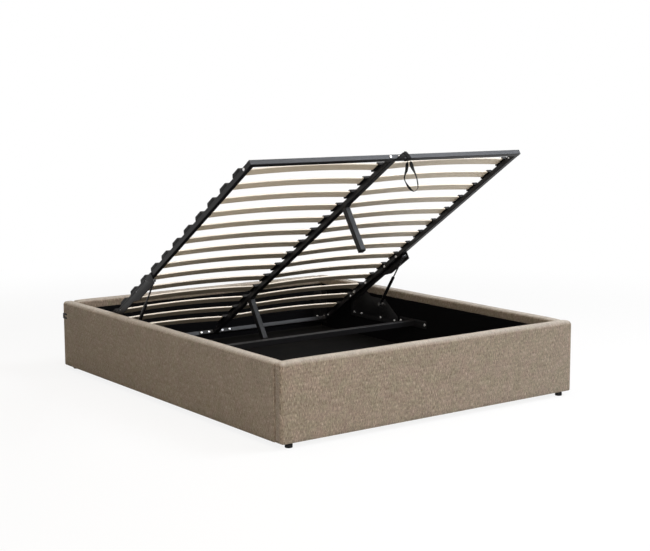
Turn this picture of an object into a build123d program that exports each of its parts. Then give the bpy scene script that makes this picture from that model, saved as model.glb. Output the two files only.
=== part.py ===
from build123d import *
import os
from math import atan2, cos, degrees, hypot, radians, sin

# Ottoman storage bed: an upholstered box, and a sprung slat lid lifted by two gas struts.
# Millimetres. +Z is up, +Y runs to the head end, +X is to the right seen from the foot end.
# The origin is on the floor under the middle of the bed, and the lid is drawn open.

# Overall box
bed_length = 2130.0
bed_width = 1760.0
panel_height = 350.0
panel_thickness = 56.0
foot_height = 25.0

# Upholstered panels: core, foam and a cover that wraps over the top and down inside
cover_thickness = 2.0
core_thickness = 30.0
top_foam = 10.0
end_foam = 4.0
cover_flap = 42.0
top_outer_radius = 14.0
top_inner_radius = 9.0
bottom_radius = 8.0
end_radius = 6.0

# Feet under the corners
foot_radius = 17.5
foot_pad_height = 16.0
foot_stem_radius = 12.0
foot_side_inset = 57.0
foot_end_inset = 30.0

# Storage floor: boards on side cleats and on cross battens with feet of their own
floor_top = 70.0
floor_board_thickness = 5.0
floor_gap = 1.0
cleat_width = 20.0
cleat_height = 30.0
batten_width = 60.0
batten_foot_radius = 20.0
floor_board_count = 3

# Button-head bolts that hold the steel parts to the panels and to the lid
bolt_radius = 4.0
bolt_head_radius = 7.5
bolt_head_height = 3.6
bolt_length = 28.0
hole_clearance = 0.2

# Steel angles in the four corners of the box
corner_leg = 60.0
corner_height = 200.0
corner_lift = 90.0
corner_steel = 3.0
corner_bolt_inset = 32.0
corner_bolt_spacing = 120.0

# Headboard keepers on the side panels and bolt holes in the head panel
keeper_length = 40.0
keeper_height = 30.0
keeper_band = 9.0
keeper_steel = 5.0
keeper_drop = 77.0
headboard_hole_radius = 4.5
headboard_hole_spacing_x = 1200.0
headboard_hole_spacing_z = 130.0
headboard_hole_height = 200.0

# Lid frame of square tube, closed inside the box with its underside below the panels' top
lid_gap = 10.0
lid_drop = 56.0
lid_open_angle = 33.1
hinge_from_head = 450.0
tube_size = 25.0
tube_wall = 1.5
tube_corner = 2.5
centre_rail_width = 30.0

# Sprung slats in two columns, held in plastic caps
slat_count = 14
slat_width = 53.0
slat_thickness = 8.0
slat_rise = 13.0
first_slat_inset = 128.0
last_slat_inset = 160.5
slat_seat = 2.5
slat_side_inset = 5.0
slat_centre_inset = 6.0
cap_length = 72.0
cap_slope = 8.0
cap_side_width = 32.0
cap_centre_width = 62.0
cap_roof = 4.0
cap_play = 0.3
cap_headroom = 2.2
cap_end_wall = 4.5

# Angles that join the lid's tubes
lid_angle_leg = 50.0
lid_angle_height = 20.0
lid_angle_steel = 2.5
foot_angle_leg = 23.0
head_angle_leg = 95.0
foot_bolt_offset = 27.0
head_bolt_near = 45.0
head_bolt_far = 95.0
lid_bolt_length = 30.0
lid_corner_bolt_inset = 62.0

# Centre legs that stand on the storage floor when the lid is closed
leg_size = 30.0
leg_wall = 1.5
leg_spot_shares = (0.2372, 0.7628)
leg_floor_gap = 1.0
leg_cap_height = 8.0
leg_plate_length = 60.0
leg_plate_steel = 3.0

# Base plates of the mechanism, on the side panels
base_steel = 4.0
base_plate_length = 450.0
base_plate_height = 182.0
base_plate_bottom = 175.0
base_plate_foot_reach = 365.0
base_bolt_rise = 25.0
base_bolt_shares = (0.067, 0.353, 0.76, 0.916)
base_outline_shares = ((0, 0), (0, 0.27), (0.27, 0.76), (0.56, 0.76), (0.71, 1), (0.92, 1), (1, 0.6), (1, 0))

# Hinge pins
pin_radius = 5.0
pin_clearance = 0.05
pin_collar_radius = 10.0
pin_reach = 44.0
nut_radius = 8.5
nut_height = 6.0
face_gap = 0.3

# Lid brackets: plates outside the side rails that hang below them to hold the struts
bracket_steel = 4.0
bracket_length = 615.0
bracket_head_reach = 86.0
bracket_top = 22.0
bracket_hang = 20.0
bracket_tab_length = 190.0
bracket_tab_hang = 40.0
bracket_slope_length = 60.0
bracket_bolt_shares = (0.117, 0.32, 0.665, 0.951)
bracket_bolt_height = 10.0

# Gas struts
strut_offset = 24.0
strut_foot_reach = 228.0
strut_foot_drop = 47.5
strut_top_inset = 19.0
strut_top_below = 15.0
cylinder_radius = 9.0
cylinder_bore = 7.6
cylinder_reach = 210.0
cylinder_base = 22.0
cylinder_guide = 14.0
rod_radius = 4.0
rod_clearance = 0.08
piston_length = 12.0
piston_setback = 30.0
eye_radius = 8.0
eye_width = 10.0
neck_radius = 5.0
stud_radius = 5.0
stud_collar_radius = 8.0
stud_tip = 6.0
socket_length = 26.0

# Cross bar between the side panels
cross_bar_reach = 500.0
cross_bar_top = 225.0
cross_bar_depth = 40.0
cross_bar_height = 30.0
end_plate_length = 240.0
end_plate_height = 44.0
end_plate_steel = 4.0
end_plate_bolt_spacing = 212.0

# Pull strap: a fold round the foot bar and a hand loop that swings below it
strap_x = 66.0
strap_shift = 15.0
strap_width = 26.0
strap_thickness = 1.6
strap_fold_width = 50.0
strap_top_width = 4.0
strap_taper = 20.0
strap_gap = 0.9
strap_turn_angle = 37.0
strap_loop_width = 68.0
strap_loop_height = 146.0
strap_loop_shares = ((-0.02, 0), (-0.29, -0.6), (0.21, -0.945), (0.5, -1), (0.735, -0.81), (0.1, 0))
strap_radius_shares = (0.03, 0.59, 0.32, 0.2, 0.44, 0.03)

# Faces and heights that several pieces share
half_length = bed_length / 2
half_width = bed_width / 2
inner_half_length = half_length - panel_thickness
inner_half_width = half_width - panel_thickness
inner_length = 2 * inner_half_length
inner_width = 2 * inner_half_width
panel_top = foot_height + panel_height
flap_bottom = panel_top - cover_flap
closed_underside = panel_top - lid_drop
floor_underside = floor_top - floor_board_thickness
cleat_bottom = floor_underside - cleat_height

# The lid's own axes: along runs from its foot end to its head end, height is square to it
lid_half_width = inner_half_width - lid_gap
lid_length = inner_length - 2 * lid_gap
rail_x = lid_half_width - tube_size / 2
open_turn = radians(lid_open_angle)
hinge_y = half_length - hinge_from_head
hinge_z = closed_underside + tube_size / 2
hinge_along = hinge_y + inner_half_length - lid_gap
cap_base = tube_size + slat_seat

# Places that follow the hinge and the lid
base_plate_foot_end = hinge_y - base_plate_foot_reach
base_bolt_spots = [base_plate_foot_end + share * base_plate_length for share in base_bolt_shares]
base_bolt_height = base_plate_bottom + base_bolt_rise
bracket_end = hinge_along + bracket_head_reach
bracket_start = bracket_end - bracket_length
bracket_bolt_spots = [bracket_start + share * bracket_length for share in bracket_bolt_shares]
strut_foot_y = hinge_y - strut_foot_reach
strut_foot_height = hinge_z - strut_foot_drop
strut_top_along = bracket_start + strut_top_inset
cross_bar_y = hinge_y - cross_bar_reach
leg_spots = [share * lid_length for share in leg_spot_shares]
foot_bolt_spots = (-foot_bolt_offset, foot_bolt_offset)
head_bolt_spots = (-head_bolt_far, -head_bolt_near, head_bolt_near, head_bolt_far)


def opened(y, z):
    """Where a point of the closed lid lies when the lid is open."""
    dy, dz = y - hinge_y, z - hinge_z
    return (
        hinge_y + dy * cos(open_turn) + dz * sin(open_turn),
        hinge_z - dy * sin(open_turn) + dz * cos(open_turn),
    )


lid_corner_y, lid_corner_z = opened(lid_gap - inner_half_length, closed_underside)
lid_plane = Plane(
    origin=(0, lid_corner_y, lid_corner_z),
    x_dir=(1, 0, 0),
    z_dir=(0, sin(open_turn), cos(open_turn)),
)


def lid_point(x, along, height):
    """A point given in the lid's own axes."""
    return lid_plane.from_local_coords(Vector(x, along, height))


def lid_side(x, along=0.0, height=0.0):
    """Plane across the bed on the lid: its axes run along the lid and up from it."""
    return Plane(origin=lid_point(x, along, height), x_dir=lid_plane.y_dir, z_dir=lid_plane.x_dir)


def lid_cross(along, x=0.0, height=0.0):
    """Plane square to the lid's length: its axes run across and up, and it faces the foot end."""
    return Plane(origin=lid_point(x, along, height), x_dir=lid_plane.x_dir, z_dir=-lid_plane.y_dir)


def side_plane(x, y=0.0, z=0.0):
    """Upright plane across the bed: its axes run to the head and up."""
    return Plane(origin=(x, y, z), x_dir=(0, 1, 0), z_dir=(1, 0, 0))


def save(piece, name):
    """Label a finished piece and write its STEP file."""
    piece.part.label = name
    export_step(piece.part, f"parts/{name}.step")


def tube(plane, width, depth, wall, length):
    """A square tube that starts on a plane."""
    with BuildPart() as piece:
        with BuildSketch(plane):
            RectangleRounded(width, depth, tube_corner)
            RectangleRounded(width - 2 * wall, depth - 2 * wall, tube_corner - wall, mode=Mode.SUBTRACT)
        extrude(amount=length)
    return piece


def bolts(planes, length, head_radius=bolt_head_radius, head_height=bolt_head_height):
    """Button-head bolts: each plane lies under a head and faces away from the shank."""
    with BuildPart() as group:
        for plane in planes:
            with BuildSketch(plane):
                Circle(head_radius)
            extrude(amount=head_height, taper=degrees(atan2(head_height, 2 * head_height)))
            with BuildSketch(plane):
                Circle(bolt_radius)
            extrude(amount=-length)
    return group


# Upholstered panels

def wall_plane(inward, centre):
    """The inner face of a panel at floor level: its axes run along the panel and up."""
    return Plane(origin=centre, x_dir=Vector(0, 0, 1).cross(inward), z_dir=inward)


foot_wall = wall_plane(Vector(0, 1, 0), (0, -inner_half_length, 0))
head_wall = wall_plane(Vector(0, -1, 0), (0, inner_half_length, 0))
left_wall = wall_plane(Vector(1, 0, 0), (-inner_half_width, 0, 0))
right_wall = wall_plane(Vector(-1, 0, 0), (inner_half_width, 0, 0))


def rounded_block(wall, length, shift, skin):
    """A panel's full body with rounded edges, drawn in by the thickness of a skin."""
    section = Plane(origin=wall.from_local_coords(Vector(shift, 0, 0)), x_dir=-wall.z_dir, z_dir=wall.x_dir)
    with BuildPart() as block:
        with BuildSketch(section):
            with Locations((panel_thickness / 2, foot_height + panel_height / 2)):
                Rectangle(panel_thickness - 2 * skin, panel_height - 2 * skin)
            fillet(vertices().group_by(Axis.Y)[-1].sort_by(Axis.X)[-1], top_outer_radius - skin)
            fillet(vertices().group_by(Axis.Y)[-1].sort_by(Axis.X)[0], top_inner_radius - skin)
            fillet(vertices().group_by(Axis.Y)[0], bottom_radius - skin)
        extrude(amount=length / 2 - skin, both=True)
        ends = faces().sort_by(Axis((0, 0, 0), tuple(wall.x_dir)))
        fillet(ends[0].edges() + ends[-1].edges(), end_radius - skin)
    return block


def holes(wall, spots, radius, depth):
    """Round plugs into a panel from its inner face, to be cut out."""
    with BuildPart() as plugs:
        with BuildSketch(wall):
            with Locations(*spots):
                Circle(radius)
        extrude(amount=-depth)
    return plugs.part


def panel(name, wall, length, shift, lined_length, bolt_spots, through_spots=()):
    """The four layers of one upholstered panel, with the bolt holes that its steel parts need."""
    lining_bottom = foot_height + bottom_radius
    lining_middle = (lining_bottom + flap_bottom) / 2
    core_bottom = foot_height + cover_thickness
    core_top = panel_top - cover_thickness - top_foam
    core_length = length - 2 * (cover_thickness + end_foam)
    bolt_holes = holes(wall, bolt_spots, bolt_radius + hole_clearance, bolt_length)
    if through_spots:
        through_holes = holes(wall, through_spots, headboard_hole_radius, panel_thickness)

    with BuildPart() as cover:
        add(rounded_block(wall, length, shift, 0).part)
        add(rounded_block(wall, length, shift, cover_thickness).part, mode=Mode.SUBTRACT)
        with BuildSketch(wall):
            with Locations((0, (foot_height + flap_bottom) / 2)):
                Rectangle(lined_length, flap_bottom - foot_height)
        extrude(amount=-cover_thickness, mode=Mode.SUBTRACT)
        if through_spots:
            add(through_holes, mode=Mode.SUBTRACT)
    save(cover, f"{name}_cover")

    with BuildPart() as core:
        add(rounded_block(wall, length, shift, cover_thickness).part)
        with BuildSketch(wall.offset(-cover_thickness)):
            with Locations((shift, (core_bottom + core_top) / 2)):
                Rectangle(core_length, core_top - core_bottom)
        extrude(amount=-core_thickness, mode=Mode.INTERSECT)
        add(bolt_holes, mode=Mode.SUBTRACT)
        if through_spots:
            add(through_holes, mode=Mode.SUBTRACT)
    save(core, f"{name}_core")

    with BuildPart() as foam:
        add(rounded_block(wall, length, shift, cover_thickness).part)
        with BuildSketch(wall.offset(-cover_thickness)):
            with Locations((shift, (core_bottom + core_top) / 2)):
                Rectangle(core_length, core_top - core_bottom)
        extrude(amount=-core_thickness, mode=Mode.SUBTRACT)
        if through_spots:
            add(through_holes, mode=Mode.SUBTRACT)
    save(foam, f"{name}_foam")

    with BuildPart() as lining:
        with BuildSketch(wall):
            with Locations((0, lining_middle)):
                Rectangle(lined_length, flap_bottom - lining_bottom)
        extrude(amount=-cover_thickness)
        add(bolt_holes, mode=Mode.SUBTRACT)
        if through_spots:
            add(through_holes, mode=Mode.SUBTRACT)
    save(lining, f"{name}_lining")


def corner_bolt_spots(half_span):
    """Bolts of the corner angles on one wall."""
    heights = [corner_lift + (corner_height + side * corner_bolt_spacing) / 2 for side in (-1, 1)]
    reach = half_span - corner_bolt_inset
    return [(end * reach, height) for end in (-1, 1) for height in heights]


def side_bolt_spots(wall):
    """Bolts of the base plate and the cross bar's end plate on a side wall."""
    ends = [cross_bar_y + side * end_plate_bolt_spacing / 2 for side in (-1, 1)]
    end_height = cross_bar_top - cross_bar_height / 2
    spots = [(y, base_bolt_height) for y in base_bolt_spots] + [(y, end_height) for y in ends]
    to_head = wall.x_dir.Y
    return [(y * to_head, height) for y, height in spots]


headboard_spots = [
    (x * headboard_hole_spacing_x / 2, headboard_hole_height + z * headboard_hole_spacing_z / 2)
    for x in (-1, 1)
    for z in (-1, 1)
]
side_length = inner_length + panel_thickness
side_corner_spots = corner_bolt_spots(inner_half_length)
end_corner_spots = corner_bolt_spots(inner_half_width)

panel("foot_panel", foot_wall, bed_width, 0, inner_width, end_corner_spots)
panel("head_panel", head_wall, inner_width, 0, inner_width, end_corner_spots, headboard_spots)
for side_name, side_wall in (("left_panel", left_wall), ("right_panel", right_wall)):
    panel(
        side_name,
        side_wall,
        side_length,
        side_wall.x_dir.Y * panel_thickness / 2,
        inner_length,
        side_corner_spots + side_bolt_spots(side_wall),
    )


# Corner angles and all bolts that enter the panels

for end_name, end_wall, y_side in (("foot", foot_wall, -1), ("head", head_wall, 1)):
    with BuildPart() as corner_angles:
        for x_side in (-1, 1):
            with BuildSketch(Plane.XY.offset(corner_lift)):
                with BuildLine():
                    x0, y0 = x_side * inner_half_width, y_side * inner_half_length
                    Polyline(
                        (x0, y0),
                        (x0 - x_side * corner_leg, y0),
                        (x0 - x_side * corner_leg, y0 - y_side * corner_steel),
                        (x0 - x_side * corner_steel, y0 - y_side * corner_steel),
                        (x0 - x_side * corner_steel, y0 - y_side * corner_leg),
                        (x0, y0 - y_side * corner_leg),
                        close=True,
                    )
                make_face()
            extrude(amount=corner_height)
        for wall, spots in (
            (end_wall, end_corner_spots),
            (left_wall, side_corner_spots),
            (right_wall, side_corner_spots),
        ):
            with BuildSketch(wall):
                with Locations(*spots):
                    Circle(bolt_radius + hole_clearance)
            extrude(amount=corner_steel, mode=Mode.SUBTRACT)
    save(corner_angles, f"corner_angles_{end_name}")


def spot_planes(wall, spots, lift):
    """Planes under the bolt heads on a wall."""
    return [
        Plane(origin=wall.from_local_coords(Vector(x, z, lift)), x_dir=wall.x_dir, z_dir=wall.z_dir)
        for x, z in spots
    ]


corner_planes = []
for wall, spots in (
    (foot_wall, end_corner_spots),
    (head_wall, end_corner_spots),
    (left_wall, side_corner_spots),
    (right_wall, side_corner_spots),
):
    corner_planes += spot_planes(wall, spots, corner_steel)
save(bolts(corner_planes, bolt_length), "corner_bolts")

mechanism_planes = []
for wall in (left_wall, right_wall):
    mechanism_planes += spot_planes(wall, side_bolt_spots(wall), base_steel)
save(bolts(mechanism_planes, bolt_length), "mechanism_bolts")


# Feet

with BuildPart() as feet:
    spots = [
        (x * (half_width - foot_side_inset), y * (half_length - foot_end_inset))
        for x in (-1, 1)
        for y in (-1, 1)
    ]
    with BuildSketch():
        with Locations(*spots):
            Circle(foot_radius)
    extrude(amount=foot_pad_height)
    chamfer(faces().filter_by(Axis.Z).group_by(Axis.Z)[0].edges(), (foot_radius - foot_stem_radius) / 4)
    with BuildSketch(Plane.XY.offset(foot_pad_height)):
        with Locations(*spots):
            Circle(foot_stem_radius)
    extrude(amount=foot_height - foot_pad_height)
save(feet, "feet")


# Storage floor

board_length = inner_length / floor_board_count
joint_spots = [(index - floor_board_count / 2) * board_length for index in range(1, floor_board_count)]
leg_rest_spots = [along + lid_gap - inner_half_length for along in leg_spots]
batten_spots = sorted(joint_spots + leg_rest_spots)

with BuildPart() as side_cleats:
    for side in (-1, 1):
        with BuildSketch(Plane.XY.offset(cleat_bottom)):
            with Locations((side * (inner_half_width - cleat_width / 2), 0)):
                Rectangle(cleat_width, inner_length)
        extrude(amount=cleat_height)
save(side_cleats, "side_cleats")

with BuildPart() as floor_battens:
    with BuildSketch(Plane.XY.offset(cleat_bottom)):
        with Locations(*[(0, y) for y in batten_spots]):
            Rectangle(inner_width - 2 * cleat_width, batten_width)
    extrude(amount=cleat_height)
save(floor_battens, "floor_battens")

with BuildPart() as batten_feet:
    with BuildSketch():
        with Locations(*[(0, y) for y in batten_spots]):
            Circle(batten_foot_radius)
    extrude(amount=cleat_bottom)
save(batten_feet, "batten_feet")

for index, place in enumerate(("foot", "middle", "head")[:floor_board_count]):
    with BuildPart() as floor_board:
        with BuildSketch(Plane.XY.offset(floor_underside)):
            with Locations((0, (index + 1 / 2 - floor_board_count / 2) * board_length)):
                Rectangle(inner_width - 2 * floor_gap, board_length - floor_gap)
        extrude(amount=floor_board_thickness)
    save(floor_board, f"floor_board_{place}")


# Headboard keepers

with BuildPart() as headboard_keepers:
    keeper_centre = (half_length - end_radius - keeper_length / 2, panel_top - keeper_drop)
    for side in (-1, 1):
        with BuildSketch(side_plane(side * half_width)):
            with Locations(keeper_centre):
                RectangleRounded(keeper_length, keeper_height, keeper_band / 2)
            with Locations((keeper_centre[0] - keeper_band, keeper_centre[1])):
                Rectangle(keeper_length, keeper_height - 2 * keeper_band, mode=Mode.SUBTRACT)
        extrude(amount=side * keeper_steel)
save(headboard_keepers, "headboard_keepers")


# Cross bar

plate_x = inner_half_width - end_plate_steel
cross_bar_middle = cross_bar_top - cross_bar_height / 2
cross_bar_plane = side_plane(-plate_x, cross_bar_y, cross_bar_middle)
save(tube(cross_bar_plane, cross_bar_depth, cross_bar_height, tube_wall, 2 * plate_x), "cross_bar")

with BuildPart() as cross_bar_plates:
    for side in (-1, 1):
        with BuildSketch(side_plane(side * plate_x, cross_bar_y, cross_bar_middle)):
            RectangleRounded(end_plate_length, end_plate_height, tube_corner)
            with Locations(*[(end * end_plate_bolt_spacing / 2, 0) for end in (-1, 1)]):
                Circle(bolt_radius + hole_clearance, mode=Mode.SUBTRACT)
        extrude(amount=side * end_plate_steel)
save(cross_bar_plates, "cross_bar_plates")


# Mechanism: base plates, hinge pins and lower strut studs

base_x = inner_half_width - base_steel
strut_x = inner_half_width - strut_offset

for side_name, side in (("left", -1), ("right", 1)):
    with BuildPart() as base_plate:
        with BuildSketch(side_plane(side * base_x, base_plate_foot_end, base_plate_bottom)):
            with BuildLine():
                Polyline(
                    *[(y * base_plate_length, z * base_plate_height) for y, z in base_outline_shares],
                    close=True,
                )
            make_face()
            fillet(vertices(), bolt_head_radius)
            with Locations(*[(y - base_plate_foot_end, base_bolt_rise) for y in base_bolt_spots]):
                Circle(bolt_radius + hole_clearance, mode=Mode.SUBTRACT)
        extrude(amount=side * base_steel)
    save(base_plate, f"base_plate_{side_name}")

lid_face_x = lid_half_width + bracket_steel
nut_x = lid_half_width - tube_size - face_gap - nut_height

with BuildPart() as hinge_pins:
    for side in (-1, 1):
        with BuildSketch(side_plane(side * base_x, hinge_y, hinge_z)):
            Circle(pin_radius)
        extrude(amount=-side * pin_reach)
        with BuildSketch(side_plane(side * base_x, hinge_y, hinge_z)):
            Circle(pin_collar_radius)
        extrude(amount=-side * (base_x - lid_face_x - face_gap))
save(hinge_pins, "hinge_pins")

with BuildPart() as hinge_nuts:
    for side in (-1, 1):
        with BuildSketch(side_plane(side * nut_x, hinge_y, hinge_z)):
            RegularPolygon(nut_radius, 6)
            Circle(pin_radius, mode=Mode.SUBTRACT)
        extrude(amount=side * nut_height)
save(hinge_nuts, "hinge_nuts")

with BuildPart() as lower_studs:
    for side in (-1, 1):
        foot_of_strut = (side * base_x, strut_foot_y, strut_foot_height)
        with BuildSketch(side_plane(*foot_of_strut)):
            Circle(stud_collar_radius)
        extrude(amount=-side * (base_x - strut_x - eye_width / 2 - face_gap))
        with BuildSketch(side_plane(*foot_of_strut)):
            Circle(stud_radius)
        extrude(amount=-side * (base_x - strut_x + eye_width / 2 + face_gap))
        with BuildSketch(side_plane(side * (strut_x - eye_width / 2 - face_gap), *foot_of_strut[1:])):
            Circle(stud_collar_radius)
        extrude(amount=-side * stud_tip)
save(lower_studs, "lower_studs")


# Gas struts, drawn along the line from the lower stud to the upper stud

top_of_strut = lid_point(0, strut_top_along, -strut_top_below)
strut_dy = top_of_strut.Y - strut_foot_y
strut_dz = top_of_strut.Z - strut_foot_height
strut_length = hypot(strut_dy, strut_dz)
strut_way = Vector(0, strut_dy / strut_length, strut_dz / strut_length)

for side_name, side in (("left", -1), ("right", 1)):
    strut_foot = (side * strut_x, strut_foot_y, strut_foot_height)
    strut_axis = Plane(origin=strut_foot, x_dir=(1, 0, 0), z_dir=strut_way)
    with BuildPart() as strut_cylinder:
        with BuildSketch(strut_axis.offset(cylinder_base)):
            Circle(cylinder_radius)
        extrude(amount=cylinder_reach - cylinder_base)
        with BuildSketch(strut_axis):
            Circle(neck_radius)
        extrude(amount=cylinder_base)
        with BuildSketch(side_plane(*strut_foot)):
            Circle(eye_radius)
        extrude(amount=eye_width / 2, both=True)
        with BuildSketch(side_plane(*strut_foot)):
            Circle(stud_radius + pin_clearance)
        extrude(amount=cylinder_radius, both=True, mode=Mode.SUBTRACT)
        with BuildSketch(strut_axis.offset(cylinder_base + cylinder_guide)):
            Circle(cylinder_bore)
        extrude(amount=cylinder_reach - cylinder_base - 2 * cylinder_guide, mode=Mode.SUBTRACT)
        with BuildSketch(strut_axis.offset(cylinder_reach - cylinder_guide)):
            Circle(rod_radius + rod_clearance)
        extrude(amount=cylinder_guide, mode=Mode.SUBTRACT)
    save(strut_cylinder, f"strut_cylinder_{side_name}")

    piston_start = cylinder_reach - piston_setback - piston_length
    with BuildPart() as strut_rod:
        with BuildSketch(strut_axis.offset(piston_start)):
            Circle(cylinder_bore - face_gap)
        extrude(amount=piston_length)
        with BuildSketch(strut_axis.offset(piston_start)):
            Circle(rod_radius)
        extrude(amount=strut_length - piston_start)
        with BuildSketch(strut_axis.offset(strut_length - socket_length)):
            Circle(neck_radius + pin_clearance)
        extrude(amount=socket_length)
        with BuildSketch(lid_side(side * strut_x, strut_top_along, -strut_top_below)):
            Circle(eye_radius)
        extrude(amount=eye_width / 2, both=True)
    save(strut_rod, f"strut_rod_{side_name}")


# Lid frame

rail_length = lid_length - 2 * tube_size
mid_tube = tube_size / 2
corner_bolt_alongs = (lid_corner_bolt_inset, lid_length - lid_corner_bolt_inset)

for rail_name, rail_place, width in (
    ("lid_rail_left", -rail_x, tube_size),
    ("lid_rail_centre", 0, centre_rail_width),
    ("lid_rail_right", rail_x, tube_size),
):
    rail_end = lid_cross(lid_length - tube_size, rail_place, mid_tube)
    with BuildPart() as rail:
        add(tube(rail_end, width, tube_size, tube_wall, rail_length).part)
        if rail_place:
            with BuildSketch(lid_side(rail_place)):
                with Locations((hinge_along, mid_tube)):
                    Circle(pin_radius + pin_clearance)
                with Locations(*[(along, bracket_bolt_height) for along in bracket_bolt_spots]):
                    Circle(bolt_radius + hole_clearance)
                with Locations(*[(along, mid_tube) for along in corner_bolt_alongs]):
                    Circle(bolt_radius + hole_clearance)
            extrude(amount=tube_size, both=True, mode=Mode.SUBTRACT)
    save(rail, rail_name)

for bar_name, bar_start, bar_bolt_spots in (
    ("lid_foot_bar", 0, foot_bolt_spots),
    ("lid_head_bar", lid_length - tube_size, head_bolt_spots),
):
    bar_end = lid_side(-lid_half_width, bar_start + mid_tube, mid_tube)
    with BuildPart() as bar:
        add(tube(bar_end, tube_size, tube_size, tube_wall, 2 * lid_half_width).part)
        with BuildSketch(lid_cross(bar_start, 0, mid_tube)):
            with Locations(*[(x, 0) for x in bar_bolt_spots]):
                Circle(bolt_radius + hole_clearance)
        extrude(amount=-tube_size, mode=Mode.SUBTRACT)
        for x in (-lid_half_width, lid_half_width - tube_wall):
            with BuildSketch(lid_side(x, bar_start + mid_tube, mid_tube)):
                RectangleRounded(tube_size, tube_size, tube_corner)
            extrude(amount=tube_wall)
    save(bar, bar_name)

# Angles inside the lid's corners and beside the centre rail

with BuildPart() as lid_angles:
    inner_x = lid_half_width - tube_size
    for y0, y_way, centre_leg in (
        (tube_size, 1, foot_angle_leg),
        (lid_length - tube_size, -1, head_angle_leg),
    ):
        for x0, leg_x, x_way in (
            (inner_x, lid_angle_leg, -1),
            (-inner_x, lid_angle_leg, 1),
            (centre_rail_width / 2, centre_leg, 1),
            (-centre_rail_width / 2, centre_leg, -1),
        ):
            with BuildSketch(lid_plane.offset((tube_size - lid_angle_height) / 2)):
                with BuildLine():
                    Polyline(
                        (x0, y0),
                        (x0 + x_way * leg_x, y0),
                        (x0 + x_way * leg_x, y0 + y_way * lid_angle_steel),
                        (x0 + x_way * lid_angle_steel, y0 + y_way * lid_angle_steel),
                        (x0 + x_way * lid_angle_steel, y0 + y_way * lid_angle_leg),
                        (x0, y0 + y_way * lid_angle_leg),
                        close=True,
                    )
                make_face()
            extrude(amount=lid_angle_height)
    with BuildSketch(lid_cross(0, 0, mid_tube)):
        with Locations(*[(x, 0) for x in foot_bolt_spots]):
            Circle(bolt_radius + hole_clearance)
    extrude(amount=-lid_length / 2, mode=Mode.SUBTRACT)
    with BuildSketch(lid_cross(lid_length, 0, mid_tube)):
        with Locations(*[(x, 0) for x in head_bolt_spots]):
            Circle(bolt_radius + hole_clearance)
    extrude(amount=lid_length / 2, mode=Mode.SUBTRACT)
    with BuildSketch(lid_side(0, 0, mid_tube)):
        with Locations(*[(along, 0) for along in corner_bolt_alongs]):
            Circle(bolt_radius + hole_clearance)
    extrude(amount=lid_half_width, both=True, mode=Mode.SUBTRACT)
save(lid_angles, "lid_angles")

# Bolts of the lid: heads outside the side rails, outside the foot bar and inside the head bar

lid_bolt_planes = []
for side in (-1, 1):
    outward = lid_plane.x_dir * side
    for along in corner_bolt_alongs:
        place = lid_point(side * lid_half_width, along, mid_tube)
        lid_bolt_planes.append(Plane(origin=place, x_dir=lid_plane.y_dir, z_dir=outward))
head_inner = lid_length - tube_size - lid_angle_steel
lid_bolt_planes += [lid_cross(0, x, mid_tube) for x in foot_bolt_spots]
lid_bolt_planes += [lid_cross(head_inner, x, mid_tube) for x in head_bolt_spots]
save(bolts(lid_bolt_planes, lid_bolt_length), "lid_frame_bolts")


# Lid brackets, their bolts and the upper strut studs

for side_name, side in (("left", -1), ("right", 1)):
    with BuildPart() as lid_bracket:
        with BuildSketch(lid_side(side * lid_half_width)):
            with BuildLine():
                Polyline(
                    (bracket_start, bracket_top),
                    (bracket_start, -bracket_tab_hang),
                    (bracket_start + bracket_tab_length, -bracket_tab_hang),
                    (bracket_start + bracket_tab_length + bracket_slope_length, -bracket_hang),
                    (bracket_end - bracket_slope_length, -bracket_hang),
                    (bracket_end, 0),
                    (bracket_end, bracket_top),
                    close=True,
                )
            make_face()
            fillet(vertices(), bolt_radius)
            with Locations((hinge_along, mid_tube)):
                Circle(pin_radius + pin_clearance, mode=Mode.SUBTRACT)
            with Locations(*[(along, bracket_bolt_height) for along in bracket_bolt_spots]):
                Circle(bolt_radius + hole_clearance, mode=Mode.SUBTRACT)
        extrude(amount=side * bracket_steel)
    save(lid_bracket, f"lid_bracket_{side_name}")

bracket_bolt_planes = []
for side in (-1, 1):
    for along in bracket_bolt_spots:
        place = lid_point(side * (lid_half_width - tube_size), along, bracket_bolt_height)
        bracket_bolt_planes.append(Plane(origin=place, x_dir=lid_plane.y_dir, z_dir=lid_plane.x_dir * -side))
save(bolts(bracket_bolt_planes, tube_size + bracket_steel), "bracket_bolts")

with BuildPart() as upper_studs:
    for side in (-1, 1):
        with BuildSketch(lid_side(side * lid_half_width, strut_top_along, -strut_top_below)):
            Circle(stud_collar_radius)
        extrude(amount=-side * (lid_half_width - strut_x - eye_width / 2 - face_gap))
save(upper_studs, "upper_studs")


# Slats and their caps

slat_pitch = (lid_length - first_slat_inset - last_slat_inset) / (slat_count - 1)
slat_spots = [first_slat_inset + index * slat_pitch for index in range(slat_count)]
slat_far = lid_half_width - slat_side_inset
slat_mid = (slat_far + slat_centre_inset) / 2

for side_name, side in (("left", -1), ("right", 1)):
    with BuildPart() as slats:
        for along in slat_spots:
            with BuildSketch(lid_cross(along)):
                with BuildLine():
                    crown = (side * slat_mid, cap_base + slat_rise)
                    low = [(side * slat_centre_inset, cap_base), crown, (side * slat_far, cap_base)]
                    high = [(x, z + slat_thickness) for x, z in low]
                    ThreePointArc(*low)
                    ThreePointArc(*high)
                    Line(low[0], high[0])
                    Line(low[-1], high[-1])
                make_face()
            extrude(amount=slat_width / 2, both=True)
    save(slats, f"slats_{side_name}")

cap_pocket_height = slat_thickness + cap_headroom
cap_height = slat_seat + cap_pocket_height + cap_roof
pocket_length = slat_width + 2 * cap_play


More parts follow.
